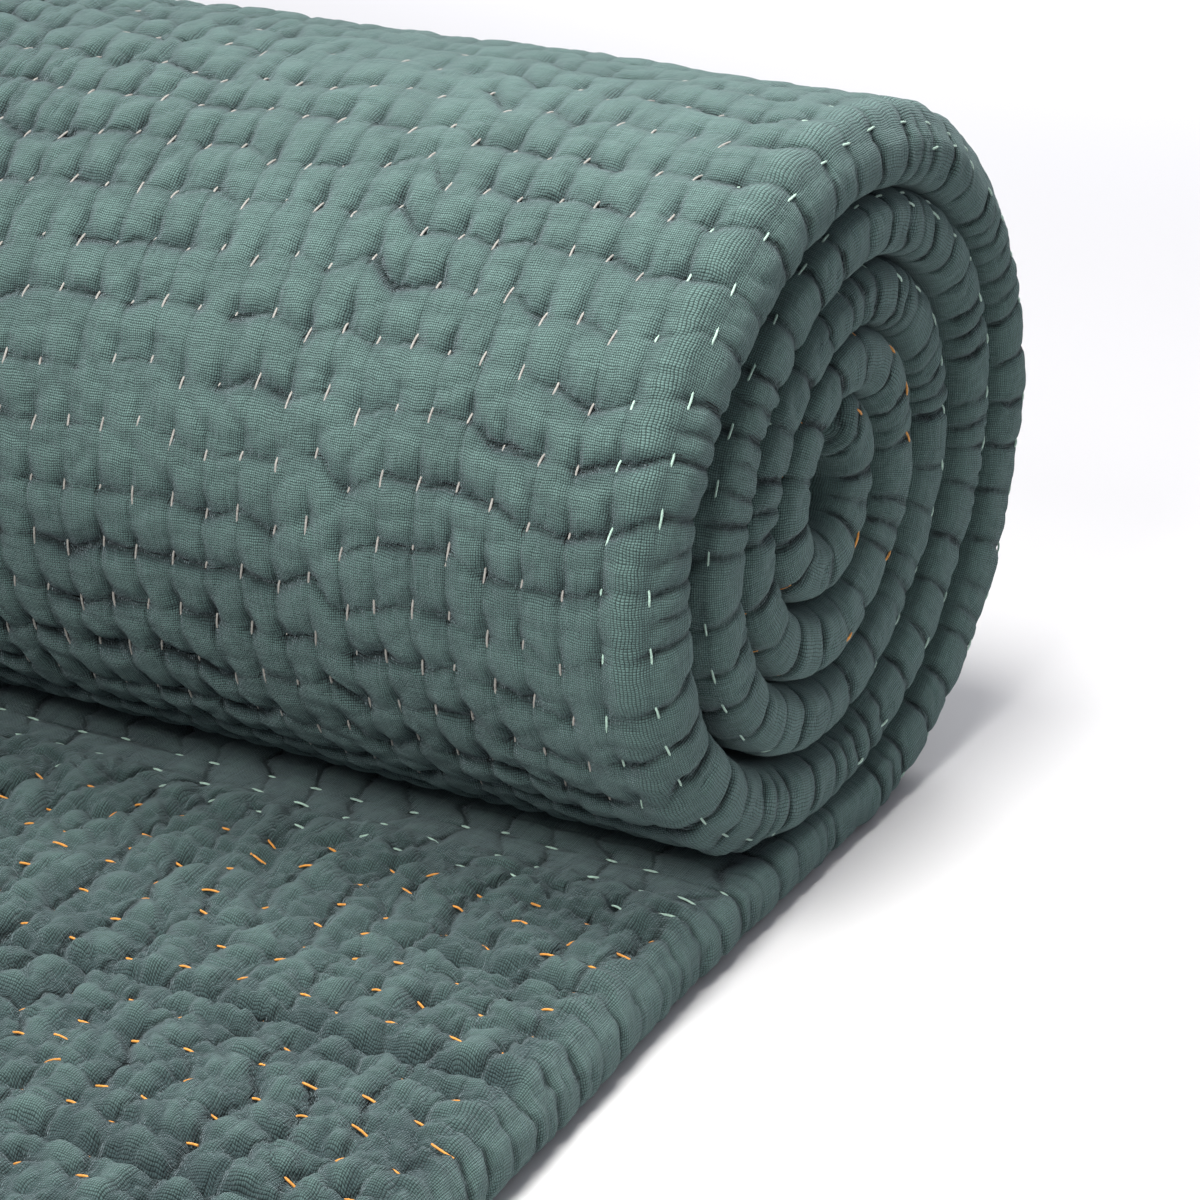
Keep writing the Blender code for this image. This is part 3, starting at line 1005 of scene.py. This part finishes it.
def moved_node(tree, place, vector, shift, scale, amount):
    """A vector with uneven shifts of a size added to it."""
    noise = noise_node(tree, place, shift, scale)
    x, y = place
    centred = add_node(tree, "ShaderNodeVectorMath", (x + 180, y), operation="SUBTRACT")
    centred.inputs[1].default_value = (0.5, 0.5, 0.5)
    tree.links.new(noise.outputs["Color"], centred.inputs[0])
    sized = add_node(tree, "ShaderNodeVectorMath", (x + 340, y), operation="SCALE")
    sized.inputs["Scale"].default_value = amount
    tree.links.new(centred.outputs[0], sized.inputs[0])
    moved = add_node(tree, "ShaderNodeVectorMath", (x + 500, y), operation="ADD")
    tree.links.new(vector, moved.inputs[0])
    tree.links.new(sized.outputs[0], moved.inputs[1])
    return moved.outputs[0], noise.outputs["Fac"]


def group_tree(name, inputs, outputs):
    """A shader node group with its sockets, and its input and output nodes."""
    group = bpy.data.node_groups.new(name, "ShaderNodeTree")
    for title, kind, default in inputs:
        socket = group.interface.new_socket(title, in_out="INPUT", socket_type="NodeSocket" + kind)
        if default is not None:
            socket.default_value = default
    for title in outputs:
        group.interface.new_socket(title, in_out="OUTPUT", socket_type="NodeSocketFloat")
    start = add_node(group, "NodeGroupInput", (-1500, 0))
    end = add_node(group, "NodeGroupOutput", (1420, 0))
    return group, start, end


def weave_group():
    """Plain woven muslin on a map in metres: threads' height, gaps and thick threads."""
    group, start, end = group_tree(
        "plain_weave",
        (
            ("Cloth Map", "Vector", None),
            ("Threads per Metre", "Float", 2100.0),
            ("Slub", "Float", 0.22),
        ),
        ("Height", "Gaps", "Thickness"),
    )
    flat = start.outputs["Cloth Map"]
    moved, _ = moved_node(group, (-1300, -250), flat, flat, 150.0, 0.0016)
    apart = add_node(group, "ShaderNodeSeparateXYZ", (-460, 0))
    group.links.new(moved, apart.inputs[0])
    threads = []
    for level, name in ((120, "X"), (-120, "Y")):
        count = math_node(group, (-300, level), "MULTIPLY", apart.outputs[name], start.outputs[1])
        angle = math_node(group, (-140, level), "MULTIPLY", count, pi)
        threads.append(math_node(group, (20, level), "SINE", angle))
    warp = math_node(group, (180, 120), "ABSOLUTE", threads[0])
    weft = math_node(group, (180, -120), "ABSOLUTE", threads[1])
    crossing = math_node(group, (180, 0), "MULTIPLY", threads[0], threads[1])
    both = math_node(group, (340, 60), "ADD", warp, weft)
    half = math_node(group, (500, 60), "MULTIPLY", both, 0.38)
    over = math_node(group, (500, -60), "MULTIPLY", crossing, 0.16)
    height = math_node(group, (660, 60), "ADD", half, over)
    warp_slub = stretched_node(group, (-1000, -500), moved, 0.0060, 0.00060)
    weft_slub = stretched_node(group, (-1000, -700), moved, 0.00060, 0.0050)
    slub = math_node(group, (-500, -600), "ADD", warp_slub, weft_slub)
    thickness = range_node(group, (-300, -600), slub, 0.70, 1.30, -1.0, 1.0)
    uneven = math_node(group, (500, -300), "MULTIPLY", thickness, start.outputs["Slub"])
    total = math_node(group, (820, 60), "ADD", height, uneven)
    least = math_node(group, (500, 220), "MINIMUM", warp, weft)
    gaps = math_node(group, (660, 220), "SUBTRACT", 1.0, least)
    for title, socket in (("Height", total), ("Gaps", gaps), ("Thickness", uneven)):
        group.links.new(socket, end.inputs[title])
    return group


def crease_group():
    """Fine creases through the stitches and along their rows, from the sewing's marks."""
    group, start, end = group_tree(
        "sewn_creases",
        (
            ("Cells", "Vector", None),
            ("Pulls", "Vector", None),
            ("Cloth Map", "Vector", None),
            ("Crease Width", "Float", 0.00075),
            ("Row Width", "Float", 0.00070),
        ),
        ("Crease",),
    )
    flat = start.outputs["Cloth Map"]
    moved, uneven = moved_node(group, (-1300, 200), start.outputs["Cells"], flat, 210.0, 0.22)
    cells = add_node(group, "ShaderNodeSeparateXYZ", (-600, 200))
    group.links.new(moved, cells.inputs[0])
    pulls = add_node(group, "ShaderNodeSeparateXYZ", (-600, -200))
    group.links.new(start.outputs["Pulls"], pulls.inputs[0])
    broken = range_node(group, (-600, -400), uneven, 0.30, 0.62, 0.35, 1.15)
    deepest = None
    lines = []
    for level, axis, offset, pitch, width, strength in (
        (300, "X", 0.0, OUTER_QUILTING.stitch_pitch, "Crease Width", "X"),
        (0, "X", 0.5, OUTER_QUILTING.stitch_pitch, "Crease Width", "Y"),
        (-300, "Y", 0.0, OUTER_QUILTING.row_pitch, "Row Width", "Z"),
    ):
        phase = math_node(group, (-400, level), "ADD", cells.outputs[axis], offset)
        nearest = math_node(group, (-240, level), "ROUND", phase)
        past = math_node(group, (-80, level), "SUBTRACT", phase, nearest)
        distance = math_node(group, (80, level), "MULTIPLY", past, pitch)
        ratio = math_node(group, (240, level), "DIVIDE", distance, start.outputs[width])
        square = math_node(group, (400, level), "MULTIPLY", ratio, ratio)
        fall = math_node(group, (560, level), "MULTIPLY", square, -1.0)
        line = math_node(group, (700, level), "EXPONENT", fall)
        lines.append(line)
        depth = math_node(group, (840, level), "MULTIPLY", line, pulls.outputs[strength])
        if deepest is not None:
            depth = math_node(group, (980, level), "MAXIMUM", deepest, depth)
        deepest = depth
    crease = math_node(group, (1120, -400), "MULTIPLY", deepest, broken)
    crossing = math_node(group, (980, -600), "MULTIPLY", lines[0], lines[2])
    held = math_node(group, (980, -760), "ADD", pulls.outputs["X"], pulls.outputs["Z"])
    hole = math_node(group, (1120, -600), "MULTIPLY", crossing, held)
    crease = math_node(group, (1260, -500), "MAXIMUM", crease, hole)
    group.links.new(crease, end.inputs["Crease"])
    return group


def bump_node(tree, place, height, distance, before=None):
    """A Bump node at full strength over a distance in metres, and its normal."""
    bump = add_node(tree, "ShaderNodeBump", place)
    bump.inputs["Strength"].default_value = 1.0
    bump.inputs["Distance"].default_value = distance
    tree.links.new(height, bump.inputs["Height"])
    if before is not None:
        tree.links.new(before, bump.inputs["Normal"])
    return bump.outputs["Normal"]


def cloth_material(colours):
    """Teal muslin: weave, crinkles, and painted shade, darker from the pillow tops down into the
    creases.
    """
    material = bpy.data.materials.new("teal_muslin")
    material.use_nodes = True
    tree = material.node_tree
    shader = tree.nodes["Principled BSDF"]
    shader.inputs["Roughness"].default_value = 0.90
    shader.inputs["Specular IOR Level"].default_value = 0.20
    shader.inputs["Sheen Weight"].default_value = 0.19
    shader.inputs["Sheen Roughness"].default_value = 0.38
    shader.inputs["Sheen Tint"].default_value = (0.74, 0.92, 1.0, 1.0)
    cloth_map = add_node(tree, "ShaderNodeUVMap", (-1600, 0), uv_map="cloth").outputs["UV"]
    cells = add_node(tree, "ShaderNodeAttribute", (-1600, 600), attribute_name="cells")
    pulls = add_node(tree, "ShaderNodeAttribute", (-1600, 400), attribute_name="pulls")
    puff = add_node(tree, "ShaderNodeSeparateXYZ", (-1400, 700))
    tree.links.new(cells.outputs["Vector"], puff.inputs[0])
    weave = add_node(tree, "ShaderNodeGroup", (-1200, 200))
    weave.node_tree = bpy.data.node_groups["plain_weave"]
    weave.inputs["Threads per Metre"].default_value = 2100.0
    weave.inputs["Slub"].default_value = 0.22
    tree.links.new(cloth_map, weave.inputs["Cloth Map"])
    creases = add_node(tree, "ShaderNodeGroup", (-1200, 450))
    creases.node_tree = bpy.data.node_groups["sewn_creases"]
    tree.links.new(cells.outputs["Vector"], creases.inputs["Cells"])
    tree.links.new(pulls.outputs["Vector"], creases.inputs["Pulls"])
    tree.links.new(cloth_map, creases.inputs["Cloth Map"])
    crease = creases.outputs["Crease"]
    patches = noise_node(tree, (-1200, -100), cloth_map, 42.0, 5.0).outputs["Fac"]
    wrinkles = None
    for level, along, across in ((-400, 0.0026, 0.0070), (-600, 0.0070, 0.0030)):
        waves = stretched_node(tree, (-1400, level), cloth_map, along, across)
        centred = math_node(tree, (-1040, level), "SUBTRACT", waves, 0.5)
        folded = math_node(tree, (-900, level), "ABSOLUTE", centred)
        if wrinkles is not None:
            folded = math_node(tree, (-760, level), "ADD", wrinkles, folded)
        wrinkles = folded
    # Painted shade: the colour goes from the cloth's towards the darker crease colour as the puff
    # falls into creases and hollows
    shade_mix = range_node(tree, (-1000, 700), puff.outputs["Z"], 0.05, 0.95, 0.0, 1.0)
    tone = add_node(tree, "ShaderNodeMix", (-760, 500), data_type="RGBA")
    tone.inputs["A"].default_value = (*colours.crease_shade, 1.0)
    tone.inputs["B"].default_value = (*colours.cloth, 1.0)
    tree.links.new(shade_mix, tone.inputs["Factor"])
    mottle = range_node(tree, (-1000, -100), patches, 0.25, 0.75, 0.90, 1.09)
    gap = range_node(tree, (-1000, 200), weave.outputs["Gaps"], 0.35, 1.0, 1.32, 0.15)
    thick = range_node(tree, (-1000, 50), weave.outputs["Thickness"], -0.22, 0.22, 0.87, 1.13)
    shade = range_node(tree, (-1000, 450), crease, 0.0, 1.0, 1.0, 0.40)
    amount = math_node(tree, (-760, 0), "MULTIPLY", mottle, gap)
    amount = math_node(tree, (-760, 150), "MULTIPLY", amount, thick)
    amount = math_node(tree, (-760, 300), "MULTIPLY", amount, shade)
    tinted = add_node(tree, "ShaderNodeVectorMath", (-560, 300), operation="SCALE")
    tree.links.new(tone.outputs["Result"], tinted.inputs[0])
    tree.links.new(amount, tinted.inputs["Scale"])
    tree.links.new(tinted.outputs[0], shader.inputs["Base Color"])
    raised = math_node(tree, (-760, -200), "SUBTRACT", 1.0, crease)
    normal = bump_node(tree, (-560, -400), wrinkles, 0.00060)
    normal = bump_node(tree, (-380, -300), raised, 0.00120, normal)
    normal = bump_node(tree, (-200, -200), weave.outputs["Height"], 0.00034, normal)
    tree.links.new(normal, shader.inputs["Normal"])
    return material


def thread_material(name, colour):
    """Cotton thread: matt, with fine fibres in its tone and bump."""
    material = bpy.data.materials.new(name)
    material.use_nodes = True
    tree = material.node_tree
    shader = tree.nodes["Principled BSDF"]
    shader.inputs["Roughness"].default_value = 0.65
    shader.inputs["Sheen Weight"].default_value = 0.2
    place = add_node(tree, "ShaderNodeTexCoord", (-900, 0)).outputs["Object"]
    fibres = noise_node(tree, (-700, 0), place, 1600.0).outputs["Fac"]
    tone = range_node(tree, (-500, 0), fibres, 0.3, 0.7, 0.72, 1.12)
    base = add_node(tree, "ShaderNodeRGB", (-500, 200))
    base.outputs[0].default_value = (*colour, 1.0)
    tinted = add_node(tree, "ShaderNodeVectorMath", (-300, 100), operation="SCALE")
    tree.links.new(base.outputs[0], tinted.inputs[0])
    tree.links.new(tone, tinted.inputs["Scale"])
    tree.links.new(tinted.outputs[0], shader.inputs["Base Color"])
    tree.links.new(bump_node(tree, (-300, -200), fibres, 0.00006), shader.inputs["Normal"])
    return material


# ---------------------------------------------------------------- stitches


def stitch_tree():
    """Geometry nodes that lay one arched thread at each point, turned by its attributes."""
    tree = bpy.data.node_groups.new("hand_stitches", "GeometryNodeTree")
    face = tree.interface
    face.new_socket("Geometry", in_out="INPUT", socket_type="NodeSocketGeometry")
    for name, default in (("Thread Diameter", 0.00054), ("Arch", 0.00028), ("Dip", 0.0003)):
        socket = face.new_socket(name, in_out="INPUT", socket_type="NodeSocketFloat")
        socket.default_value = default
    face.new_socket("Thread", in_out="INPUT", socket_type="NodeSocketMaterial")
    face.new_socket("Geometry", in_out="OUTPUT", socket_type="NodeSocketGeometry")
    start = add_node(tree, "NodeGroupInput", (-900, 0))
    end = add_node(tree, "NodeGroupOutput", (1100, 0))
    links = tree.links
    sink = math_node(tree, (-700, -300), "MULTIPLY", start.outputs["Dip"], -1.0)
    ends = []
    for level, x in ((-420, -0.5), (-560, 0.5)):
        place = add_node(tree, "ShaderNodeCombineXYZ", (-520, level))
        place.inputs["X"].default_value = x
        links.new(sink, place.inputs["Z"])
        ends.append(place)
    top = add_node(tree, "ShaderNodeCombineXYZ", (-520, -280))
    links.new(start.outputs["Arch"], top.inputs["Z"])
    line = add_node(tree, "GeometryNodeCurveQuadraticBezier", (-320, -300))
    line.inputs["Resolution"].default_value = 4
    links.new(ends[0].outputs[0], line.inputs["Start"])
    links.new(top.outputs[0], line.inputs["Middle"])
    links.new(ends[1].outputs[0], line.inputs["End"])
    radius = math_node(tree, (-520, -700), "MULTIPLY", start.outputs["Thread Diameter"], 0.5)
    round_profile = add_node(tree, "GeometryNodeCurvePrimitiveCircle", (-320, -560))
    round_profile.inputs["Resolution"].default_value = 5
    links.new(radius, round_profile.inputs["Radius"])
    thread = add_node(tree, "GeometryNodeCurveToMesh", (-100, -360))
    links.new(line.outputs[0], thread.inputs["Curve"])
    links.new(round_profile.outputs[0], thread.inputs["Profile Curve"])
    thread.inputs["Fill Caps"].default_value = True
    turned = add_node(tree, "FunctionNodeAxesToRotation", (100, -500))
    turned.primary_axis = "X"
    turned.secondary_axis = "Z"
    for name, level, socket in (("direction", -500, 0), ("up", -640, 1)):
        read = add_node(tree, "GeometryNodeInputNamedAttribute", (-100, level))
        read.data_type = "FLOAT_VECTOR"
        read.inputs["Name"].default_value = name
        links.new(read.outputs[0], turned.inputs[socket])
    length = add_node(tree, "GeometryNodeInputNamedAttribute", (-100, -800))
    length.data_type = "FLOAT"
    length.inputs["Name"].default_value = "length"
    size = add_node(tree, "ShaderNodeCombineXYZ", (100, -760))
    links.new(length.outputs[0], size.inputs["X"])
    size.inputs["Y"].default_value = 1.0
    size.inputs["Z"].default_value = 1.0
    placed = add_node(tree, "GeometryNodeInstanceOnPoints", (320, 0))
    links.new(start.outputs["Geometry"], placed.inputs["Points"])
    links.new(thread.outputs[0], placed.inputs["Instance"])
    links.new(turned.outputs[0], placed.inputs["Rotation"])
    links.new(size.outputs[0], placed.inputs["Scale"])
    real = add_node(tree, "GeometryNodeRealizeInstances", (520, 0))
    links.new(placed.outputs[0], real.inputs[0])
    smooth = add_node(tree, "GeometryNodeSetShadeSmooth", (700, 0))
    links.new(real.outputs[0], smooth.inputs[0])
    finish = add_node(tree, "GeometryNodeSetMaterial", (900, 0))
    links.new(smooth.outputs[0], finish.inputs["Geometry"])
    links.new(start.outputs["Thread"], finish.inputs["Material"])
    links.new(finish.outputs[0], end.inputs[0])
    return tree


def stitch_rows():
    """Every stitch by thread: place along and across, direction on the cloth, length."""
    threads = {"stitches_grey": [], "stitches_mint": [], "stitches_orange": []}
    quilting = OUTER_QUILTING
    rolled_on = SECTION.along_at_turns(FIRST_TURNS)
    for row, index in np.ndindex(quilting.shape):
        across = quilting.first_row + quilting.row_pitch * row
        along = quilting.place[row, index]
        if across > FACE_END - HEM_MARGIN or not rolled_on < along < SECTION.length - END_MARGIN:
            continue
        shown = SECTION.read("shown_outer", along) > 0.02
        if not shown and row > 0:
            continue
        shift_along, shift_across = roll_shift(along, across)
        place = (along - shift_along, across - shift_across + quilting.shift[row, index])
        turns = float(SECTION.read("turns", along))
        thread = "stitches_mint" if row < MINT_ROWS else "stitches_grey"
        heading = (1.0, quilting.tilt[row, index])
        if turns > TURNED_STITCHES:
            heading = heading[::-1]
        if turns > ORANGE_TURNS:
            thread = "stitches_orange"
        threads[thread].append((*place, *heading, quilting.length[row, index]))
    random = np.random.default_rng(41)
    for along in quilting.place[0]:
        draws = random.random(4)
        turned_back = float(SECTION.read("out_y", along)) > TURNED_BACK
        turns = float(SECTION.read("turns", along))
        shown = SHOWN_IN_FOLDS[0] if turns < ORANGE_TURNS else SHOWN_IN_FOLDS[1]
        if not (turned_back and 0.0 < turns < TURNS - FIRST_TURNS) or draws[0] > shown:
            continue
        across = FOLD_STITCH_PLACE[0] + FOLD_STITCH_PLACE[1] * draws[2]
        length = FOLD_STITCH_LENGTH[0] + FOLD_STITCH_LENGTH[1] * draws[3]
        thread = "stitches_mint" if turns < ORANGE_TURNS else "stitches_orange"
        place = (along - roll_shift(along, across)[0], across)
        threads[thread].append((*place, 1.0, draws[1] - 0.5, length))
    quilting = INNER_QUILTING
    for row, index in np.ndindex(quilting.shape):
        along = quilting.first_row + quilting.row_pitch * row
        across = -quilting.place[row, index]
        on_flap = along < FLAP_SHOWN_Y - FLAP_END_Y - COVER_MARGIN
        if not (on_flap and FLAP_FIRST < -across < FACE_END - HEM_MARGIN):
            continue
        shift_along, shift_across = flap_shift(along, across)
        place = (along - shift_along + quilting.shift[row, index], across + shift_across)
        thread = "stitches_mint" if along + FLAP_END_Y > MINT_STRIP_Y else "stitches_orange"
        heading = (quilting.tilt[row, index], 1.0)
        threads[thread].append((*place, *heading, quilting.length[row, index]))
    return threads


def lay_stitches(name, rows, material, sizes):
    """One mesh of all the stitches of one thread, on the cloth's surface."""
    rows = np.array(rows)
    along, across = rows[:, 0], rows[:, 1]
    heading = rows[:, 2:4] / np.linalg.norm(rows[:, 2:4], axis=1, keepdims=True)
    reach = rows[:, 4:5] / 2 * heading
    ahead, _ = cloth_point(along + reach[:, 0], across + reach[:, 1])
    behind, _ = cloth_point(along - reach[:, 0], across - reach[:, 1])
    middle, _ = cloth_point(along, across)
    near = 0.0004
    side_a = cloth_point(along + near, across)[0] - cloth_point(along - near, across)[0]
    side_b = cloth_point(along, across + near)[0] - cloth_point(along, across - near)[0]
    up = np.cross(side_a, side_b)
    up = -up / np.linalg.norm(up, axis=1, keepdims=True)
    direction = ahead - behind
    lengths = np.linalg.norm(direction, axis=1)
    lift = np.sum(((ahead + behind) / 2 - middle) * up, axis=1)
    centre = middle + up * np.maximum(lift, 0.0)[:, None]
    mesh = bpy.data.meshes.new(name)
    mesh.from_pydata(centre.tolist(), [], [])
    for title, kind, values in (
        ("direction", "FLOAT_VECTOR", direction),
        ("up", "FLOAT_VECTOR", up),
        ("length", "FLOAT", lengths),
    ):
        attribute = mesh.attributes.new(title, kind, "POINT")
        field = "vector" if kind == "FLOAT_VECTOR" else "value"
        attribute.data.foreach_set(field, values.astype(np.float32).reshape(-1))
    piece = bpy.data.objects.new(name, mesh)
    bpy.context.scene.collection.objects.link(piece)
    tree = bpy.data.node_groups["hand_stitches"]
    modifier = piece.modifiers.new("stitches", "NODES")
    modifier.node_group = tree
    chosen = {
        "Thread Diameter": sizes.thread_diameter,
        "Arch": sizes.stitch_arch,
        "Dip": sizes.stitch_dip,
        "Thread": material,
    }
    for item in tree.interface.items_tree:
        if item.in_out == "INPUT" and item.name in chosen:
            modifier[item.identifier] = chosen[item.name]
    evaluated = piece.evaluated_get(bpy.context.evaluated_depsgraph_get())
    plain = bpy.data.meshes.new_from_object(evaluated)
    piece.modifiers.remove(modifier)
    piece.data = plain
    plain.name = name
    if not plain.polygons:
        raise RuntimeError(f"{name}: no stitches were made")
    return piece


# ---------------------------------------------------------------- settings


class QuiltSizes(bpy.types.PropertyGroup):
    """Sizes of the stitches"""

    thread_diameter: bpy.props.FloatProperty(
        name="Thread Diameter",
        description="Thickness of the thread that the stitches are sewn with",
        default=0.00054,
        unit="LENGTH",
        precision=5,
    )
    stitch_arch: bpy.props.FloatProperty(
        name="Stitch Arch",
        description="How far a stitch's middle stands over its centre line's ends",
        default=0.00028,
        unit="LENGTH",
        precision=5,
    )
    stitch_dip: bpy.props.FloatProperty(
        name="Stitch Dip",
        description="How far a stitch's ends sink into the cloth",
        default=0.0003,
        unit="LENGTH",
        precision=5,
    )


class QuiltColours(bpy.types.PropertyGroup):
    """Colours of the cloth, of its painted shade in the creases, and of its three threads"""

    cloth: bpy.props.FloatVectorProperty(
        name="Cloth",
        description="Colour of the muslin on the pillows",
        default=(0.0765, 0.1290, 0.1195),
        subtype="COLOR",
        size=3,
    )
    # Painted shade: the darker colour mixed in where the cloth goes down into creases and hollows
    crease_shade: bpy.props.FloatVectorProperty(
        name="Creased Cloth",
        description="Colour of the muslin down in the creases",
        default=(0.024, 0.041, 0.043),
        subtype="COLOR",
        size=3,
    )
    grey_thread: bpy.props.FloatVectorProperty(
        name="Grey Thread",
        description="Thread of most stitches on the roll",
        default=(0.265, 0.255, 0.235),
        subtype="COLOR",
        size=3,
    )
    mint_thread: bpy.props.FloatVectorProperty(
        name="Mint Thread",
        description="Thread of the stitches near the fold",
        default=(0.34, 0.50, 0.42),
        subtype="COLOR",
        size=3,
    )
    orange_thread: bpy.props.FloatVectorProperty(
        name="Orange Thread",
        description="Thread of the stitches on the loose end",
        default=(0.60, 0.25, 0.030),
        subtype="COLOR",
        size=3,
    )


class QuiltStage(bpy.types.PropertyGroup):
    """Camera, lights and floor"""

    camera_angle: bpy.props.FloatProperty(
        name="Camera Angle",
        description="Angle of the camera round the quilt, from the loose end towards the fold",
        default=radians(28.5),
        subtype="ANGLE",
    )
    camera_height: bpy.props.FloatProperty(
        name="Camera Elevation",
        description="Angle of the camera over the horizon",
        default=radians(23.4),
        subtype="ANGLE",
    )
    camera_place: bpy.props.FloatVectorProperty(
        name="Camera Place",
        description="Where the camera stands",
        default=(0.5570, -0.5848, 0.3866),
        subtype="TRANSLATION",
        size=3,
    )
    lens: bpy.props.FloatProperty(
        name="Lens",
        description="Focal length in millimetres on a 36 mm sensor",
        default=113.4,
    )
    key_power: bpy.props.FloatProperty(
        name="Key Light",
        description="Power of the soft light in front, over the loose end",
        default=1.9,
        unit="POWER",
    )
    top_power: bpy.props.FloatProperty(
        name="Top Light",
        description="Power of the soft light over the roll",
        default=2.0,
        unit="POWER",
    )
    floor_power: bpy.props.FloatProperty(
        name="Floor Light",
        description="Power of the soft light on the floor behind the roll",
        default=17.4,
        unit="POWER",
    )
    room_light: bpy.props.FloatProperty(
        name="Room Light",
        description="Strength of the even light from all round",
        default=0.44,
    )
    floor_colour: bpy.props.FloatVectorProperty(
        name="Floor",
        description="Colour of the floor",
        default=(0.65, 0.65, 0.662),
        subtype="COLOR",
        size=3,
    )


# ---------------------------------------------------------------- operators


WARM, PLAIN = (1.0, 0.985, 0.95), (1.0, 1.0, 1.0)
LIGHTS = (
    # name, size in metres, spread in degrees, colour, place and what it aims at
    ("key_light", 0.28, 115.0, WARM, (0.18, -0.39, 0.48), (0.26, -0.02, 0.07)),
    ("top_light", 0.34, 110.0, WARM, (0.18, 0.06, 0.63), (0.26, 0.02, 0.0)),
    ("floor_light", 0.80, 180.0, PLAIN, (-0.10, 1.35, 0.80), (-0.10, 1.30, 0.0)),
)
FLOOR_REACH = 6.0  # half the floor's side
FLOOR_DEPTH = 0.0002  # how far it lies under the quilt


class MakeCloth(bpy.types.Operator):
    """Make the quilt's puckered surface, in pieces that meet edge to edge"""

    bl_idname = "quilt.make_cloth"
    bl_label = "Make Cloth"

    def execute(self, context):
        weave_group()
        crease_group()
        material = cloth_material(context.scene.quilt_colours)
        for name, patches in make_patches().items():
            piece = patch_mesh(name, patches, material)
            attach(piece, BODY)
            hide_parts(NODE)
        return {"FINISHED"}


class MakeStitches(bpy.types.Operator):
    """Sew the rows of running stitches in their three threads"""

    bl_idname = "quilt.make_stitches"
    bl_label = "Make Stitches"

    def execute(self, context):
        stitch_tree()
        colours = context.scene.quilt_colours
        threads = {
            "stitches_grey": colours.grey_thread,
            "stitches_mint": colours.mint_thread,
            "stitches_orange": colours.orange_thread,
        }
        for name, rows in stitch_rows().items():
            material = thread_material(name + "_thread", threads[name])
            piece = lay_stitches(name, rows, material, context.scene.quilt_sizes)
            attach(piece, BODY)
        return {"FINISHED"}


class MakeStage(bpy.types.Operator):
    """Make the pale floor, the soft light and the camera"""

    bl_idname = "quilt.make_stage"
    bl_label = "Make Stage"

    def execute(self, context):
        stage = context.scene.quilt_stage
        mesh = bpy.data.meshes.new("floor")
        corners = ((-1, -1), (1, -1), (1, 1), (-1, 1))
        points = [(x * FLOOR_REACH, y * FLOOR_REACH, -FLOOR_DEPTH) for x, y in corners]
        mesh.from_pydata(points, [], [(0, 1, 2, 3)])
        floor = bpy.data.objects.new("floor", mesh)
        context.scene.collection.objects.link(floor)
        material = bpy.data.materials.new("pale_floor")
        material.use_nodes = True
        shader = material.node_tree.nodes["Principled BSDF"]
        shader.inputs["Base Color"].default_value = (*stage.floor_colour, 1.0)
        shader.inputs["Roughness"].default_value = 0.8
        shader.inputs["Specular IOR Level"].default_value = 0.1
        mesh.materials.append(material)

        powers = (stage.key_power, stage.top_power, stage.floor_power)
        for power, (name, size, spread, colour, place, aim) in zip(powers, LIGHTS):
            light = bpy.data.lights.new(name, "AREA")
            light.shape = "DISK"
            light.size = size
            light.energy = power
            light.spread = radians(spread)
            light.color = colour
            lamp = bpy.data.objects.new(name, light)
            lamp.location = place
            lamp.rotation_euler = (Vector(place) - Vector(aim)).to_track_quat("Z", "Y").to_euler()
            context.scene.collection.objects.link(lamp)

        world = bpy.data.worlds.new("studio")
        world.use_nodes = True
        back = world.node_tree.nodes["Background"]
        back.inputs["Color"].default_value = (0.925, 0.915, 1.0, 1.0)
        back.inputs["Strength"].default_value = stage.room_light
        context.scene.world = world
        context.scene.view_settings.view_transform = "Standard"

        angle, height = stage.camera_angle, stage.camera_height
        back_way = Vector((sin(angle) * cos(height), -cos(angle) * cos(height), sin(height)))
        data = bpy.data.cameras.new("camera")
        data.lens = stage.lens
        data.sensor_width = 36.0
        data.clip_start = 0.05
        camera = bpy.data.objects.new("camera", data)
        camera.location = stage.camera_place
        camera.rotation_euler = back_way.to_track_quat("Z", "Y").to_euler()
        context.scene.collection.objects.link(camera)
        context.scene.camera = camera
        return {"FINISHED"}


class QuiltPanel(bpy.types.Panel):
    """The quilt's settings and operators in the 3D view's sidebar"""

    bl_label = "Rolled Quilt"
    bl_idname = "VIEW3D_PT_rolled_quilt"
    bl_space_type = "VIEW_3D"
    bl_region_type = "UI"
    bl_category = "Quilt"

    def draw(self, context):
        for name, group in SETTINGS.items():
            box = self.layout.box()
            for field in group.__annotations__:
                box.prop(getattr(context.scene, name), field)
        for operator in OPERATORS:
            self.layout.operator(operator.bl_idname)


SETTINGS = {
    "quilt_sizes": QuiltSizes,
    "quilt_colours": QuiltColours,
    "quilt_stage": QuiltStage,
}
OPERATORS = (MakeCloth, MakeStitches, MakeStage)
CLASSES = (*SETTINGS.values(), *OPERATORS, QuiltPanel)


def register():
    for item in CLASSES:
        bpy.utils.register_class(item)
    for name, group in SETTINGS.items():
        setattr(bpy.types.Scene, name, bpy.props.PointerProperty(type=group))


def unregister():
    for name in SETTINGS:
        delattr(bpy.types.Scene, name)
    for item in reversed(CLASSES):
        bpy.utils.unregister_class(item)


def main():
    register()
    bpy.ops.quilt.make_cloth()
    bpy.ops.quilt.make_stitches()
    bpy.ops.quilt.make_stage()


if __name__ == "__main__":
    main()
